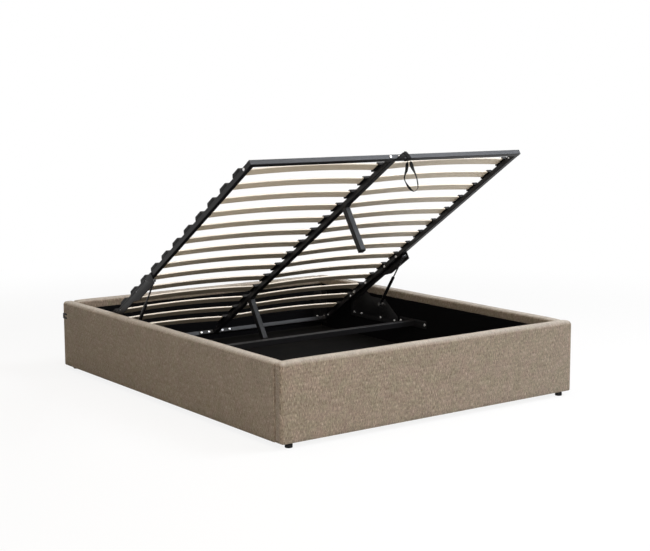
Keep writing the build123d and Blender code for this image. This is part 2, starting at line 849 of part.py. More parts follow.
def slat_caps(name, x_low, x_high, pockets):
    """A row of end caps on a rail: sloped blocks with an open pocket for each slat end."""
    with BuildPart() as caps:
        for along in slat_spots:
            with BuildSketch(lid_side(x_low, along, tube_size)):
                with BuildLine():
                    Polyline(
                        (-cap_length / 2, 0),
                        (cap_length / 2, 0),
                        (cap_length / 2, slat_seat),
                        (cap_length / 2 - cap_slope, cap_height),
                        (cap_slope - cap_length / 2, cap_height),
                        (-cap_length / 2, slat_seat),
                        close=True,
                    )
                make_face()
            extrude(amount=x_high - x_low)
            for pocket_low, pocket_high in pockets:
                with BuildSketch(lid_side(pocket_low, along, cap_base - cap_play + cap_pocket_height / 2)):
                    Rectangle(pocket_length, cap_pocket_height)
                extrude(amount=pocket_high - pocket_low, mode=Mode.SUBTRACT)
    save(caps, name)


cap_inner = lid_half_width - cap_side_width
cap_pocket_end = lid_half_width - cap_end_wall
half_cap = cap_centre_width / 2
web = cap_end_wall
slat_caps("slat_caps_left", -lid_half_width, -cap_inner, [(-cap_pocket_end, -cap_inner)])
slat_caps("slat_caps_right", cap_inner, lid_half_width, [(cap_inner, cap_pocket_end)])
slat_caps("slat_caps_centre", -half_cap, half_cap, [(-half_cap, -web), (web, half_cap)])


# Centre legs

leg_length = closed_underside - floor_top - leg_floor_gap - leg_cap_height
with BuildPart() as centre_legs:
    for along in leg_spots:
        with BuildSketch(lid_plane.offset(-leg_plate_steel)):
            with Locations((0, along)):
                Rectangle(centre_rail_width, leg_plate_length)
        extrude(amount=leg_plate_steel)
        with BuildSketch(lid_plane.offset(-leg_length)):
            with Locations((0, along)):
                RectangleRounded(leg_size, leg_size, tube_corner)
                inside = leg_size - 2 * leg_wall
                RectangleRounded(inside, inside, tube_corner - leg_wall, mode=Mode.SUBTRACT)
        extrude(amount=leg_length - leg_plate_steel)
save(centre_legs, "centre_legs")

with BuildPart() as leg_caps:
    for along in leg_spots:
        with BuildSketch(lid_plane.offset(-leg_length)):
            with Locations((0, along)):
                RectangleRounded(leg_size, leg_size, tube_corner)
        extrude(amount=-leg_cap_height)
save(leg_caps, "leg_caps")


# Pull strap

with BuildPart() as strap_fold:
    fold_size = tube_size + 2 * strap_thickness
    with BuildSketch(lid_side(strap_x - strap_fold_width / 2, mid_tube, mid_tube)):
        RectangleRounded(fold_size, fold_size, tube_corner + strap_thickness)
        RectangleRounded(tube_size, tube_size, tube_corner, mode=Mode.SUBTRACT)
    extrude(amount=strap_fold_width)
save(strap_fold, "strap_fold")

fold_bottom = lid_point(strap_x + strap_shift, mid_tube, -strap_thickness)
turn = radians(strap_turn_angle)
slope_drop = strap_top_width / 2 * cos(turn) * sin(open_turn) / cos(open_turn)
loop_top = (fold_bottom.X, fold_bottom.Y, fold_bottom.Z - slope_drop - strap_gap)
loop_across = Vector(cos(turn), -sin(turn), 0)
loop_normal = Vector(-sin(turn), -cos(turn), 0)
loop_plane = Plane(origin=loop_top, x_dir=loop_across, z_dir=loop_normal)
with BuildPart() as strap_loop:
    with BuildSketch(loop_plane):
        with BuildLine():
            FilletPolyline(
                *[(x * strap_loop_width, z * strap_loop_height) for x, z in strap_loop_shares],
                close=True,
                radius=[share * strap_loop_width for share in strap_radius_shares],
            )
        make_face()
        offset(amount=-strap_thickness, mode=Mode.SUBTRACT)
    extrude(amount=strap_width / 2, both=True)
    with BuildSketch(Plane(origin=loop_top, x_dir=loop_normal, z_dir=-loop_across)):
        with BuildLine():
            Polyline(
                (strap_top_width / 2, 0),
                (strap_width / 2, -strap_taper),
                (strap_width / 2, -strap_loop_height),
                (-strap_width / 2, -strap_loop_height),
                (-strap_width / 2, -strap_taper),
                (-strap_top_width / 2, 0),
                close=True,
            )
        make_face()
    extrude(amount=strap_loop_width, both=True, mode=Mode.INTERSECT)
save(strap_loop, "strap_loop")
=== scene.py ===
"""Looks of an upholstered storage bed with a sprung slat lid, laid out as an add-on and run as a script.

Every piece is worked out in metres in the bed's own frame: X across, Y to the head end, Z up, and the origin
on the floor under the middle of the bed.
"""

import bmesh
import bpy
import numpy as np
from bpy.props import FloatProperty, FloatVectorProperty, PointerProperty
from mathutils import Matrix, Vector


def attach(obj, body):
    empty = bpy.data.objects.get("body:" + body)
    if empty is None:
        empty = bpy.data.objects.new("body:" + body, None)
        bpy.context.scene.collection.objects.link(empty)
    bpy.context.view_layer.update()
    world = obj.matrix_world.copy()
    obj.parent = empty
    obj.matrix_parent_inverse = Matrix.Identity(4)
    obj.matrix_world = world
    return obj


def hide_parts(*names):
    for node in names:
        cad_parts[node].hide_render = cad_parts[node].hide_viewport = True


bl_info = {
    "name": "Storage Bed Dressing",
    "version": (1, 0, 0),
    "blender": (4, 5, 0),
    "location": "View3D > Sidebar > Storage Bed",
    "description": "Upholstery, sprung slats, steel finishes and studio for a storage bed",
    "category": "Object",
}

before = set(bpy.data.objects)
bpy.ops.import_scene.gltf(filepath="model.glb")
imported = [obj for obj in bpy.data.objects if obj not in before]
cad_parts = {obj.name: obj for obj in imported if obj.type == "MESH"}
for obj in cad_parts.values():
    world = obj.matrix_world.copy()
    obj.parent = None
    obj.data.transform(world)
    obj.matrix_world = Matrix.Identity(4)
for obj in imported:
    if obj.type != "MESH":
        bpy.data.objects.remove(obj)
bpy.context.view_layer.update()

# Sizes shared with the bed's solids, in metres
BED_LENGTH = 2.130
BED_WIDTH = 1.760
PANEL_THICKNESS = 0.056
PANEL_BOTTOM = 0.025
PANEL_TOP = 0.375
FLAP_BOTTOM = 0.333
LINING_BOTTOM = 0.033
INNER_X = BED_WIDTH / 2 - PANEL_THICKNESS
INNER_Y = BED_LENGTH / 2 - PANEL_THICKNESS
LID_ANGLE = np.radians(33.1)
LID_CORNER = np.array([0.0, -0.7439043, 1.2024371])
LID_LENGTH = 1.998
LID_HALF_WIDTH = 0.814
TUBE = 0.025
SLAT_COUNT = 14
FIRST_SLAT = 0.128
SLAT_PITCH = 0.1315
SLAT_INNER = 0.006
SLAT_OUTER = 0.809
SLAT_BASE = 0.0275
SLAT_RISE = 0.013

# How far a slat's surface place lies from the next one's, and where round the slat its foot edge lies, which
# gets a painted highlight
OWN_PLACE = 0.37
FOOT_EDGE = 0.0642

UP = np.array([0.0, 0.0, 1.0])
ACROSS = np.array([1.0, 0.0, 0.0])
TO_HEAD = np.array([0.0, 1.0, 0.0])
LID_ALONG = np.array([0.0, np.cos(LID_ANGLE), -np.sin(LID_ANGLE)])
LID_UP = np.array([0.0, np.sin(LID_ANGLE), np.cos(LID_ANGLE)])


# Settings a user would change

class UpholsteryLook(bpy.types.PropertyGroup):
    cloth: FloatVectorProperty(
        name="Cloth", description="Main colour of the chenille", subtype="COLOR", size=3, min=0.0,
        max=1.0, default=(0.270, 0.219, 0.173),
    )
    light_slub: FloatVectorProperty(
        name="Light slub", description="Colour of the paler yarn", subtype="COLOR", size=3, min=0.0,
        max=1.0, default=(0.485, 0.41, 0.335),
    )
    dark_slub: FloatVectorProperty(
        name="Dark slub", description="Colour of the darker yarn", subtype="COLOR", size=3, min=0.0,
        max=1.0, default=(0.135, 0.101, 0.071),
    )
    crown: FloatProperty(
        name="Crown", description="How far the wadding pushes the outer faces out", subtype="DISTANCE",
        unit="LENGTH", min=0.0, max=0.01, default=0.003,
    )
    dome: FloatProperty(
        name="Dome", description="How far the wadding lifts the tops, for a panel of the middling kind",
        subtype="DISTANCE", unit="LENGTH", min=0.0, max=0.01, default=0.005,
    )
    thread: FloatProperty(
        name="Thread", description="Distance between two ribs of the weave", subtype="DISTANCE",
        unit="LENGTH", min=0.0005, max=0.01, default=0.0026,
    )


class SlatLook(bpy.types.PropertyGroup):
    wood: FloatVectorProperty(
        name="Wood", description="Colour of the slats' veneer", subtype="COLOR", size=3, min=0.0, max=1.0,
        default=(0.70, 0.61, 0.475),
    )
    width: FloatProperty(
        name="Width", description="Width of a slat", subtype="DISTANCE", unit="LENGTH", min=0.03,
        max=0.07, default=0.053,
    )
    thickness: FloatProperty(
        name="Thickness", description="Thickness of a slat", subtype="DISTANCE", unit="LENGTH", min=0.004,
        max=0.012, default=0.008,
    )
    edge: FloatProperty(
        name="Edge", description="Radius of a slat's long edges", subtype="DISTANCE", unit="LENGTH",
        min=0.0005, max=0.004, default=0.0028,
    )


class SteelLook(bpy.types.PropertyGroup):
    coat: FloatVectorProperty(
        name="Powder coat", description="Colour of the coated tubes and plates", subtype="COLOR", size=3,
        min=0.0, max=1.0, default=(0.007, 0.007, 0.008),
    )
    roughness: FloatProperty(
        name="Roughness", description="How matt the powder coat is", subtype="FACTOR", min=0.0, max=1.0,
        default=0.46,
    )
    bevel: FloatProperty(
        name="Edge", description="Width of the softened edges on plates", subtype="DISTANCE",
        unit="LENGTH", min=0.0001, max=0.002, default=0.0006,
    )


class StrapLook(bpy.types.PropertyGroup):
    width: FloatProperty(
        name="Width", description="Width of the webbing", subtype="DISTANCE", unit="LENGTH", min=0.01,
        max=0.05, default=0.025,
    )
    thickness: FloatProperty(
        name="Thickness", description="Thickness of the webbing", subtype="DISTANCE", unit="LENGTH",
        min=0.0005, max=0.004, default=0.0015,
    )
    lean: FloatProperty(
        name="Lean", description="How far the loop's legs lean inwards where they lean most",
        subtype="ANGLE", unit="ROTATION", min=0.0, max=1.0, default=0.663,
    )


class StudioLook(bpy.types.PropertyGroup):
    paper: FloatProperty(
        name="Paper", description="Brightness of the floor and backdrop", subtype="FACTOR", min=0.0,
        max=1.0, default=0.9,
    )
    key: FloatProperty(
        name="Key light", description="Power of the large light to the right of the foot end",
        unit="POWER", min=0.0, max=2000.0, default=290.0,
    )
    fill: FloatProperty(
        name="Fill light", description="Power of the large light to the left of the foot end",
        unit="POWER", min=0.0, max=2000.0, default=156.0,
    )
    top: FloatProperty(
        name="Top light", description="Power of the large light overhead", unit="POWER", min=0.0,
        max=2000.0, default=126.0,
    )
    sky: FloatProperty(
        name="Surroundings", description="Strength of the even light from all around", min=0.0, max=2.0,
        default=0.05,
    )


class StorageBedLook(bpy.types.PropertyGroup):
    upholstery: PointerProperty(type=UpholsteryLook)
    slats: PointerProperty(type=SlatLook)
    steel: PointerProperty(type=SteelLook)
    strap: PointerProperty(type=StrapLook)
    studio: PointerProperty(type=StudioLook)


# Shapes

class Shape:
    """Points, four-cornered faces and closing faces, gathered until they become one mesh."""

    def __init__(self):
        self.points, self.quads, self.quad_uvs = [], [], []
        self.caps, self.cap_uvs = [], []
        self.count = 0

    def add_grid(self, points, rows_at, columns_at, closed=False, ring=False, caps=None):
        """A grid of points, rows by columns. Neighbours make a face, and closed joins the last column to
        the first, ring the last row to the first. rows_at and columns_at give the surface place of each line,
        with one more value where that direction closes. caps gives the surface places of the end faces."""
        rows, columns = points.shape[:2]
        r = np.arange(rows if ring else rows - 1)[:, None]
        c = np.arange(columns if closed else columns - 1)[None, :]
        r1, c1 = (r + 1) % rows, (c + 1) % columns
        corners = np.stack([r * columns + c, r * columns + c1, r1 * columns + c1, r1 * columns + c], -1)
        self.quads.append(corners.reshape(-1, 4) + self.count)
        u, v = np.asarray(rows_at, float), np.asarray(columns_at, float)
        zero = np.zeros((r.shape[0], c.shape[1]))
        turns = ((0, 0), (0, 1), (1, 1), (1, 0))
        uv = np.stack([np.stack([u[r + i] + zero, v[c + j] + zero], -1) for i, j in turns], 2)
        self.quad_uvs.append(uv.reshape(-1, 2))
        if caps is not None:
            around = np.arange(columns)
            self.caps += [around[::-1] + self.count, around + (rows - 1) * columns + self.count]
            self.cap_uvs += [caps[0][::-1], caps[1]]
        self.points.append(points.reshape(-1, 3))
        self.count += rows * columns

    def build(self, name, material, smooth=True):
        """One mesh of all that was added, with its normals turned outwards."""
        faces = np.concatenate(self.quads).tolist() + [cap.tolist() for cap in self.caps]
        mesh = bpy.data.meshes.new(name)
        mesh.from_pydata(np.concatenate(self.points), [], faces)
        mesh.uv_layers.new(name="Surface")
        uvs = np.concatenate(self.quad_uvs + self.cap_uvs)
        mesh.uv_layers["Surface"].data.foreach_set("uv", uvs.astype(np.float32).ravel())
        work = bmesh.new()
        work.from_mesh(mesh)
        bmesh.ops.recalc_face_normals(work, faces=work.faces)
        work.to_mesh(mesh)
        work.free()
        mesh.polygons.foreach_set("use_smooth", np.full(len(mesh.polygons), smooth))
        mesh.materials.append(material)
        mesh.update()
        piece = bpy.data.objects.new(name, mesh)
        bpy.context.scene.collection.objects.link(piece)
        return piece


def smooth_step(x):
    """0 below 0, 1 above 1, and 3x squared less 2x cubed between."""
    x = np.clip(x, 0.0, 1.0)
    return x * x * (3.0 - 2.0 * x)


def spaced(*stops):
    """Values from stop to stop, with the number of steps between two stops: (start, steps, stop, ...)."""
    parts = []
    for k in range(0, len(stops) - 2, 2):
        parts.append(np.linspace(stops[k], stops[k + 2], stops[k + 1], endpoint=False))
    return np.concatenate(parts + [[stops[-1]]])


def rounded_outline(width, height, radii, sides, arc_steps=8):
    """Outline of a rectangle from (0, 0) to (width, height), run anticlockwise from the right side's foot.
    Each corner is a quarter circle about a centre one radius in from both sides, and each side is given by
    the shares of its length at which it has points. Returns points, outward normals and running length."""
    corners = [(width, 0.0), (width, height), (0.0, height), (0.0, 0.0)]
    turns = np.radians([-90.0, 0.0, 90.0, 180.0])
    centres = [(x + (-r if x else r), y + (-r if y else r)) for (x, y), r in zip(corners, radii)]
    points, normals = [], []
    for k in range(4):
        angle = turns[k] + np.linspace(0.0, np.pi / 2, arc_steps + 1)
        way = np.stack([np.cos(angle), np.sin(angle)], -1)
        arc = np.array(centres[k]) + radii[k] * way
        next_arc = np.array(centres[(k + 1) % 4]) + radii[(k + 1) % 4] * way[-1]
        share = np.asarray(sides[k])[:, None]
        side = arc[-1] + (next_arc - arc[-1]) * share
        points += [arc, side]
        normals += [way, np.repeat(way[-1:], len(share), 0)]
    points, normals = np.concatenate(points), np.concatenate(normals)
    steps = np.linalg.norm(np.roll(points, -1, 0) - points, axis=1)
    return points, normals, np.concatenate([[0.0], np.cumsum(steps)])


def on_lid(x, along, height):
    """Points given by place across, along and above the lid's underside, as row points."""
    x, along, height = np.broadcast_arrays(x, along, height)
    return LID_CORNER + x[..., None] * ACROSS + along[..., None] * LID_ALONG + height[..., None] * LID_UP


# Shader node groups and materials

class Net:
    """Adds nodes to a tree: each input is a value, or another node's output to link."""

    def __init__(self, tree):
        self.tree, self.placed = tree, 0

    def add(self, kind, inputs=(), **settings):
        node = self.tree.nodes.new(kind)
        node.location = (200 * (self.placed % 8), -260 * (self.placed // 8))
        self.placed += 1
        for key, value in settings.items():
            setattr(node, key, value)
        for key, value in dict(inputs).items():
            self.feed(node.inputs[key], value)
        return node

    def link(self, output, socket):
        self.tree.links.new(output, socket)

    def feed(self, socket, value):
        if isinstance(value, bpy.types.NodeSocket):
            self.link(value, socket)
        else:
            socket.default_value = value

    def math(self, operation, a, b=0.0, c=0.0):
        return self.add("ShaderNodeMath", {0: a, 1: b, 2: c}, operation=operation).outputs[0]

    def times(self, a, b):
        return self.math("MULTIPLY", a, b)

    def plus(self, a, b):
        return self.math("ADD", a, b)

    def scaled(self, value, factor, more):
        return self.math("MULTIPLY_ADD", value, factor, more)

    def part(self, vector, axis):
        return self.add("ShaderNodeSeparateXYZ", {0: vector}).outputs[axis]

    def grey(self, value):
        return self.add("ShaderNodeCombineColor", {0: value, 1: value, 2: value}).outputs[0]

    def bed_place(self):
        return self.add("ShaderNodeTexCoord").outputs["Object"]

    def upwardness(self):
        return self.part(self.add("ShaderNodeNewGeometry").outputs["Normal"], 2)

    def noise(self, place, scale, detail=3.0, roughness=0.5):
        inputs = {"Vector": place, "Scale": scale, "Detail": detail, "Roughness": roughness}
        return self.add("ShaderNodeTexNoise", inputs).outputs["Fac"]

    def stretch(self, place, scale):
        return self.add("ShaderNodeMapping", {"Vector": place, "Scale": scale}).outputs["Vector"]

    def ramp(self, value, low, high, to_low=0.0, to_high=1.0):
        inputs = {0: value, 1: low, 2: high, 3: to_low, 4: to_high}
        return self.add("ShaderNodeMapRange", inputs, interpolation_type="SMOOTHSTEP").outputs[0]

    def mix(self, share, a, b, blend="MIX"):
        node = self.add("ShaderNodeMix", data_type="RGBA", blend_type=blend)
        self.feed(node.inputs[0], share)
        for key, colour in ((6, a), (7, b)):
            plain = not isinstance(colour, bpy.types.NodeSocket)
            self.feed(node.inputs[key], (*colour[:3], 1.0) if plain else colour)
        return node.outputs[2]


def group(name, inputs, outputs):
    """A new shader node group with named sockets, and what is needed to fill it. An input whose default is
    None takes a place, and every other socket a number."""
    tree = bpy.data.node_groups.new(name, "ShaderNodeTree")
    for label, default in inputs.items():
        kind = "NodeSocketVector" if default is None else "NodeSocketFloat"
        socket = tree.interface.new_socket(label, in_out="INPUT", socket_type=kind)
        if default is not None:
            socket.default_value = default
    for label in outputs:
        tree.interface.new_socket(label, in_out="OUTPUT", socket_type="NodeSocketFloat")
    net = Net(tree)
    return net, net.add("NodeGroupInput").outputs, net.add("NodeGroupOutput").inputs


def make_slub_weave():
    """Woven yarn with ribs along V: thick and thin places make light and dark flecks, the ribs and a cross
    thread make the height. The surface place is in metres."""
    given = {"Place": None, "Thread": 0.0026, "Slub length": 0.02}
    net, given, out = group("Slub weave", given, ("Light fleck", "Dark fleck", "Height"))
    u, v = net.part(given["Place"], 0), net.part(given["Place"], 1)
    per_thread = net.math("DIVIDE", 1.0, given["Thread"])
    per_slub = net.math("DIVIDE", 1.0, given["Slub length"])
    per_yarn = {0: net.times(u, per_thread), 1: net.times(v, per_slub), 2: 0.0}
    yarn_place = net.add("ShaderNodeCombineXYZ", per_yarn).outputs[0]
    slub = net.noise(yarn_place, 0.85, 2.0, 0.55)
    slub_two = net.noise(net.stretch(yarn_place, (0.8, 0.8, 1.0)), 1.1, 3.0, 0.6)
    wander = net.noise(given["Place"], 24.0, 2.0, 0.5)
    rib_at = net.plus(net.times(u, per_thread), net.times(wander, 1.6))
    rib = net.math("ABSOLUTE", net.math("SINE", net.times(rib_at, np.pi)))
    cross_at = net.times(net.times(v, per_thread), 1.2 * np.pi)
    cross = net.math("ABSOLUTE", net.math("SINE", net.plus(cross_at, net.times(slub, 5.0))))
    fuzz = net.noise(given["Place"], 1500.0, 2.0, 0.7)
    net.link(net.ramp(slub, 0.50, 0.68), out["Light fleck"])
    net.link(net.ramp(slub_two, 0.50, 0.34), out["Dark fleck"])
    height = net.plus(net.times(rib, 0.5), net.times(cross, 0.22))
    height = net.plus(height, net.times(slub, 0.7))
    height = net.plus(height, net.times(fuzz, 0.25))
    net.link(height, out["Height"])


def make_wood_grain():
    """Long fibres along U: rings are a sine of the place across, bent by noise, with fine pores on top."""
    net, given, out = group("Wood grain", {"Place": None, "Ring width": 0.011}, ("Ring", "Pore", "Height"))
    long_place = net.stretch(given["Place"], (0.06, 1.0, 1.0))
    bend = net.noise(long_place, 14.0, 3.0, 0.55)
    across = net.part(given["Place"], 1)
    rings = net.math("DIVIDE", across, given["Ring width"])
    wave = net.math("SINE", net.times(net.plus(rings, net.times(bend, 4.5)), 2 * np.pi))
    ring = net.scaled(wave, 0.5, 0.5)
    pore_place = net.stretch(given["Place"], (0.035, 1.0, 1.0))
    pore = net.noise(pore_place, 900.0, 2.0, 0.6)
    net.link(ring, out["Ring"])
    net.link(net.ramp(pore, 0.56, 0.70), out["Pore"])
    net.link(net.scaled(ring, 0.3, net.times(pore, -0.7)), out["Height"])


def make_handling():
    """Dust that lies on upward faces and faint rub marks, for coated steel and moulded plastic."""
    given = {"Dust": 0.3, "Grain size": 0.0012}
    net, given, out = group("Dust and rubs", given, ("Dust mask", "Rub", "Height"))
    place = net.bed_place()
    upward = net.upwardness()
    cloud = net.noise(place, 26.0, 5.0, 0.65)
    specks = net.noise(place, 320.0, 2.0, 0.6)
    lying = net.times(net.ramp(upward, 0.35, 0.95), net.ramp(cloud, 0.35, 0.75, 0.35, 1.0))
    dust = net.times(net.times(lying, given["Dust"]), net.ramp(specks, 0.3, 0.7, 0.6, 1.0))
    rub = net.ramp(net.noise(net.stretch(place, (1.0, 4.0, 4.0)), 45.0, 4.0, 0.7), 0.55, 0.8)
    fine = net.noise(place, net.math("DIVIDE", 1.0, given["Grain size"]), 2.0, 0.5)
    net.link(dust, out["Dust mask"])
    net.link(rub, out["Rub"])
    net.link(fine, out["Height"])


def emptied(owner):
    """A net in the node tree of a material or world, with its first nodes taken out."""
    owner.use_nodes = True
    owner.node_tree.nodes.clear()
    return Net(owner.node_tree)


def new_material(name, **plain):
    """A material with its Principled shader. Plain values are set on the shader's own sockets."""
    material = bpy.data.materials.new(name)
    net = emptied(material)
    shader = net.add("ShaderNodeBsdfPrincipled")
    for label, value in plain.items():
        shader.inputs[label.replace("_", " ")].default_value = value
    finish = net.add("ShaderNodeOutputMaterial")
    net.link(shader.outputs[0], finish.inputs[0])
    return material, net, shader.inputs


def use_group(net, name, **inputs):
    """Places a shared node group in a material's tree."""
    node = net.add("ShaderNodeGroup", node_tree=bpy.data.node_groups[name])
    for label, value in inputs.items():
        net.feed(node.inputs[label.replace("_", " ")], value)
    return node.outputs


def dress(net, shader, colour, rough, height, distance, strength):
    """Feeds a colour and, unless it is None, a roughness into a shader, and a height through a Bump node."""
    net.link(colour, shader["Base Color"])
    if rough is not None:
        net.link(rough, shader["Roughness"])
    node = net.add("ShaderNodeBump", {"Height": height, "Distance": distance, "Strength": strength})
    net.link(node.outputs[0], shader["Normal"])


def surface_place(net):
    """The piece's own surface place, in metres along and around it."""
    return net.add("ShaderNodeUVMap", uv_map="Surface").outputs[0]


def chenille(look):
    """Taupe chenille: three yarn colours, upright streaks, greener and pinker patches, ribs with a short
    pile, a painted highlight on the upward faces and painted shade darkening towards the bottom."""
    material, net, shader = new_material(
        "chenille",
        Roughness=0.92,
        Specular_IOR_Level=0.15,
        Sheen_Weight=0.55,
        Sheen_Roughness=0.28,
        Sheen_Tint=(1.0, 0.92, 0.82, 1.0),
    )
    place = surface_place(net)
    weave = use_group(net, "Slub weave", Place=place, Thread=look.thread, Slub_length=0.016)
    colour = net.mix(net.times(weave["Light fleck"], 0.8), look.cloth, look.light_slub)
    colour = net.mix(net.times(weave["Dark fleck"], 0.85), colour, look.dark_slub)
    rest = net.bed_place()
    patch = net.ramp(net.noise(rest, 17.0, 3.0, 0.6), 0.3, 0.7)
    colour = net.mix(1.0, colour, net.mix(patch, (0.95, 1.0, 0.93), (1.04, 1.0, 1.01)), "MULTIPLY")
    streak = net.noise(net.stretch(place, (150.0, 14.0, 1.0)), 1.0, 2.0, 0.5)
    streak = net.ramp(streak, 0.3, 0.7, 0.91, 1.08)
    brushed = net.ramp(net.noise(net.stretch(rest, (1.0, 1.0, 0.55)), 15.0, 4.0, 0.6), 0.3, 0.7, 0.94, 1.06)
    mottle = net.ramp(net.noise(net.stretch(rest, (0.45, 0.45, 1.0)), 110.0, 2.0, 0.6), 0.3, 0.7, 0.91, 1.09)
    brushed = net.times(brushed, mottle)
    height = net.part(rest, 2)
    # Painted shade: the cloth is darkened towards the bottom edge to stand in for the shade under the rounded
    # foot
    low = net.ramp(height, PANEL_BOTTOM - 0.004, PANEL_BOTTOM + 0.03, 0.84, 1.0)
    tone = net.times(net.times(streak, brushed), low)
    shade = net.grey(tone)
    # Painted highlight: upward faces are mixed towards a pale colour to stand in for the light falling on the
    # tops
    upward = net.upwardness()
    colour = net.mix(net.ramp(upward, 0.2, 0.95, 0.0, 0.75), colour, (0.57, 0.53, 0.48))
    dress(net, shader, net.mix(1.0, colour, shade, "MULTIPLY"), None, weave["Height"], 0.0014, 0.9)
    return material


def lining_cloth():
    """Black non-woven lining: pressed fibres with a faint dimple pattern."""
    material, net, shader = new_material("lining_cloth", Roughness=0.95, IOR=1.1)
    place = surface_place(net)
    fibre = net.noise(net.stretch(place, (1.0, 0.4, 1.0)), 900.0, 3.0, 0.7)
    colour = net.mix(net.ramp(fibre, 0.35, 0.75), (0.003, 0.003, 0.0035), (0.009, 0.009, 0.010))
    cells = {"Vector": place, "Scale": 420.0}
    dimple = net.add("ShaderNodeTexVoronoi", cells, feature="SMOOTH_F1").outputs[0]
    dress(net, shader, colour, None, net.scaled(dimple, 0.8, fibre), 0.0004, 0.6)
    return material


def coated_steel(look, name="coated_steel", shine=0.0, dust=0.12):
    """Black powder coat: fine orange peel, dust on top faces and rubbed places that shine more."""
    material, net, shader = new_material(name, Specular_IOR_Level=0.3)
    marks = use_group(net, "Dust and rubs", Dust=dust, Grain_size=0.0011)
    colour = net.mix(net.times(marks["Rub"], 0.5), look.coat, [2.0 * c for c in look.coat])
    colour = net.mix(marks["Dust mask"], colour, (0.10, 0.096, 0.092))
    rubbed = net.scaled(marks["Rub"], -0.12, look.roughness - shine)
    rough = net.plus(rubbed, net.times(marks["Dust mask"], 0.4))
    dress(net, shader, colour, rough, marks["Height"], 0.00012, 0.5)
    return material


def moulded_plastic():
    """Black polypropylene: spark-eroded skin with dust in it."""
    material, net, shader = new_material("moulded_plastic", Specular_IOR_Level=0.2)
    marks = use_group(net, "Dust and rubs", Dust=0.1, Grain_size=0.0006)
    colour = net.mix(marks["Dust mask"], (0.006, 0.006, 0.0065), (0.06, 0.057, 0.054))
    rough = net.scaled(marks["Rub"], -0.1, 0.56)
    dress(net, shader, colour, rough, marks["Height"], 0.0001, 0.6)
    return material


def zinc_plate():
    """Bright zinc: crystals that differ a little in tint and polish."""
    material, net, shader = new_material("zinc_plate", Metallic=1.0)
    place = net.bed_place()
    crystal = net.add("ShaderNodeTexVoronoi", {"Vector": place, "Scale": 700.0}).outputs[1]
    tone = net.part(crystal, 0)
    colour = net.mix(tone, (0.72, 0.73, 0.75), (0.86, 0.86, 0.86))
    rough = net.scaled(tone, 0.12, 0.26)
    dress(net, shader, colour, rough, net.noise(place, 900.0), 0.00005, 0.5)
    return material


def dark_rod():
    """Ground and blackened strut rod: fine rings round it and a film of grease."""
    material, net, shader = new_material("dark_rod", Metallic=1.0)
    place = net.bed_place()
    streak = net.noise(net.stretch(place, (1.0, 40.0, 40.0)), 30.0, 3.0, 0.6)
    colour = net.mix(streak, (0.030, 0.030, 0.033), (0.075, 0.075, 0.080))
    rough = net.scaled(streak, 0.16, 0.12)
    dress(net, shader, colour, rough, streak, 0.00002, 0.5)
    return material


def slat_veneer(look):
    """Beech-faced slats: rings and pores along the slat, a painted highlight on the foot edge, and each slat's
    own tone.
    """
    material, net, shader = new_material("slat_veneer", Coat_Weight=0.08, Coat_Roughness=0.35)
    place = surface_place(net)
    grain = use_group(net, "Wood grain", Place=place, Ring_width=0.012)
    dark = [0.80 * c for c in look.wood]
    colour = net.mix(net.times(grain["Ring"], 0.45), look.wood, dark)
    colour = net.mix(net.times(grain["Pore"], 0.5), colour, [0.55 * c for c in look.wood])
    # Painted highlight: the foot edge is made paler to stand in for the light that falls on it
    around = net.math("MODULO", net.part(place, 1), OWN_PLACE)
    off_edge = net.math("ABSOLUTE", net.math("SUBTRACT", around, FOOT_EDGE))
    edge_highlight_share = net.ramp(off_edge, 0.0042, 0.0054, 1.0, 0.0)
    colour = net.mix(edge_highlight_share, colour, [min(0.3 + 0.85 * c, 0.92) for c in look.wood])
    own = net.noise(net.stretch(place, (0.15, 0.9, 1.0)), 1.7, 1.0, 0.4)
    tone = net.ramp(own, 0.3, 0.7, 0.88, 1.08)
    shade = net.grey(tone)
    colour = net.mix(1.0, colour, shade, "MULTIPLY")
    rough = net.scaled(grain["Pore"], 0.15, 0.5)
    dress(net, shader, colour, rough, grain["Height"], 0.0002, 0.7)
    return material


def plain_wood(name, light, dark, roughness=0.7):
    """Boards: the same grain on the place of the bed itself, run along the longest way."""
    material, net, shader = new_material(name)
    place = net.bed_place()
    grain = use_group(net, "Wood grain", Place=place, Ring_width=0.03)
    colour = net.mix(net.times(grain["Ring"], 0.6), light, dark)
    colour = net.mix(grain["Pore"], colour, [0.6 * c for c in dark])
    rough = net.scaled(grain["Ring"], 0.08, roughness)
    dress(net, shader, colour, rough, grain["Height"], 0.0003, 0.5)
    return material


def dark_board():
    """Black-faced hardboard of the storage floor: fine grain, lint and dust."""
    material, net, shader = new_material("dark_board", IOR=1.15)
    place = net.bed_place()
    marks = use_group(net, "Dust and rubs", Dust=0.06, Grain_size=0.0016)
    cloud = net.noise(place, 5.0, 5.0, 0.6)
    colour = net.mix(net.ramp(cloud, 0.3, 0.75), (0.0024, 0.0024, 0.0027), (0.0055, 0.0054, 0.0052))
    colour = net.mix(marks["Dust mask"], colour, (0.06, 0.057, 0.053))
    rough = net.scaled(marks["Rub"], -0.12, 0.72)
    dress(net, shader, colour, rough, marks["Height"], 0.0003, 0.5)
    return material


def foam_block():
    """Open-cell wadding, out of sight under the cover."""
    material, net, shader = new_material("foam_block", Roughness=1.0)
    place = net.bed_place()
    cell = net.add("ShaderNodeTexVoronoi", {"Vector": place, "Scale": 600.0}).outputs[0]
    dress(net, shader, net.mix(cell, (0.70, 0.66, 0.55), (0.85, 0.82, 0.74)), None, cell, 0.0006, 1.0)
    return material


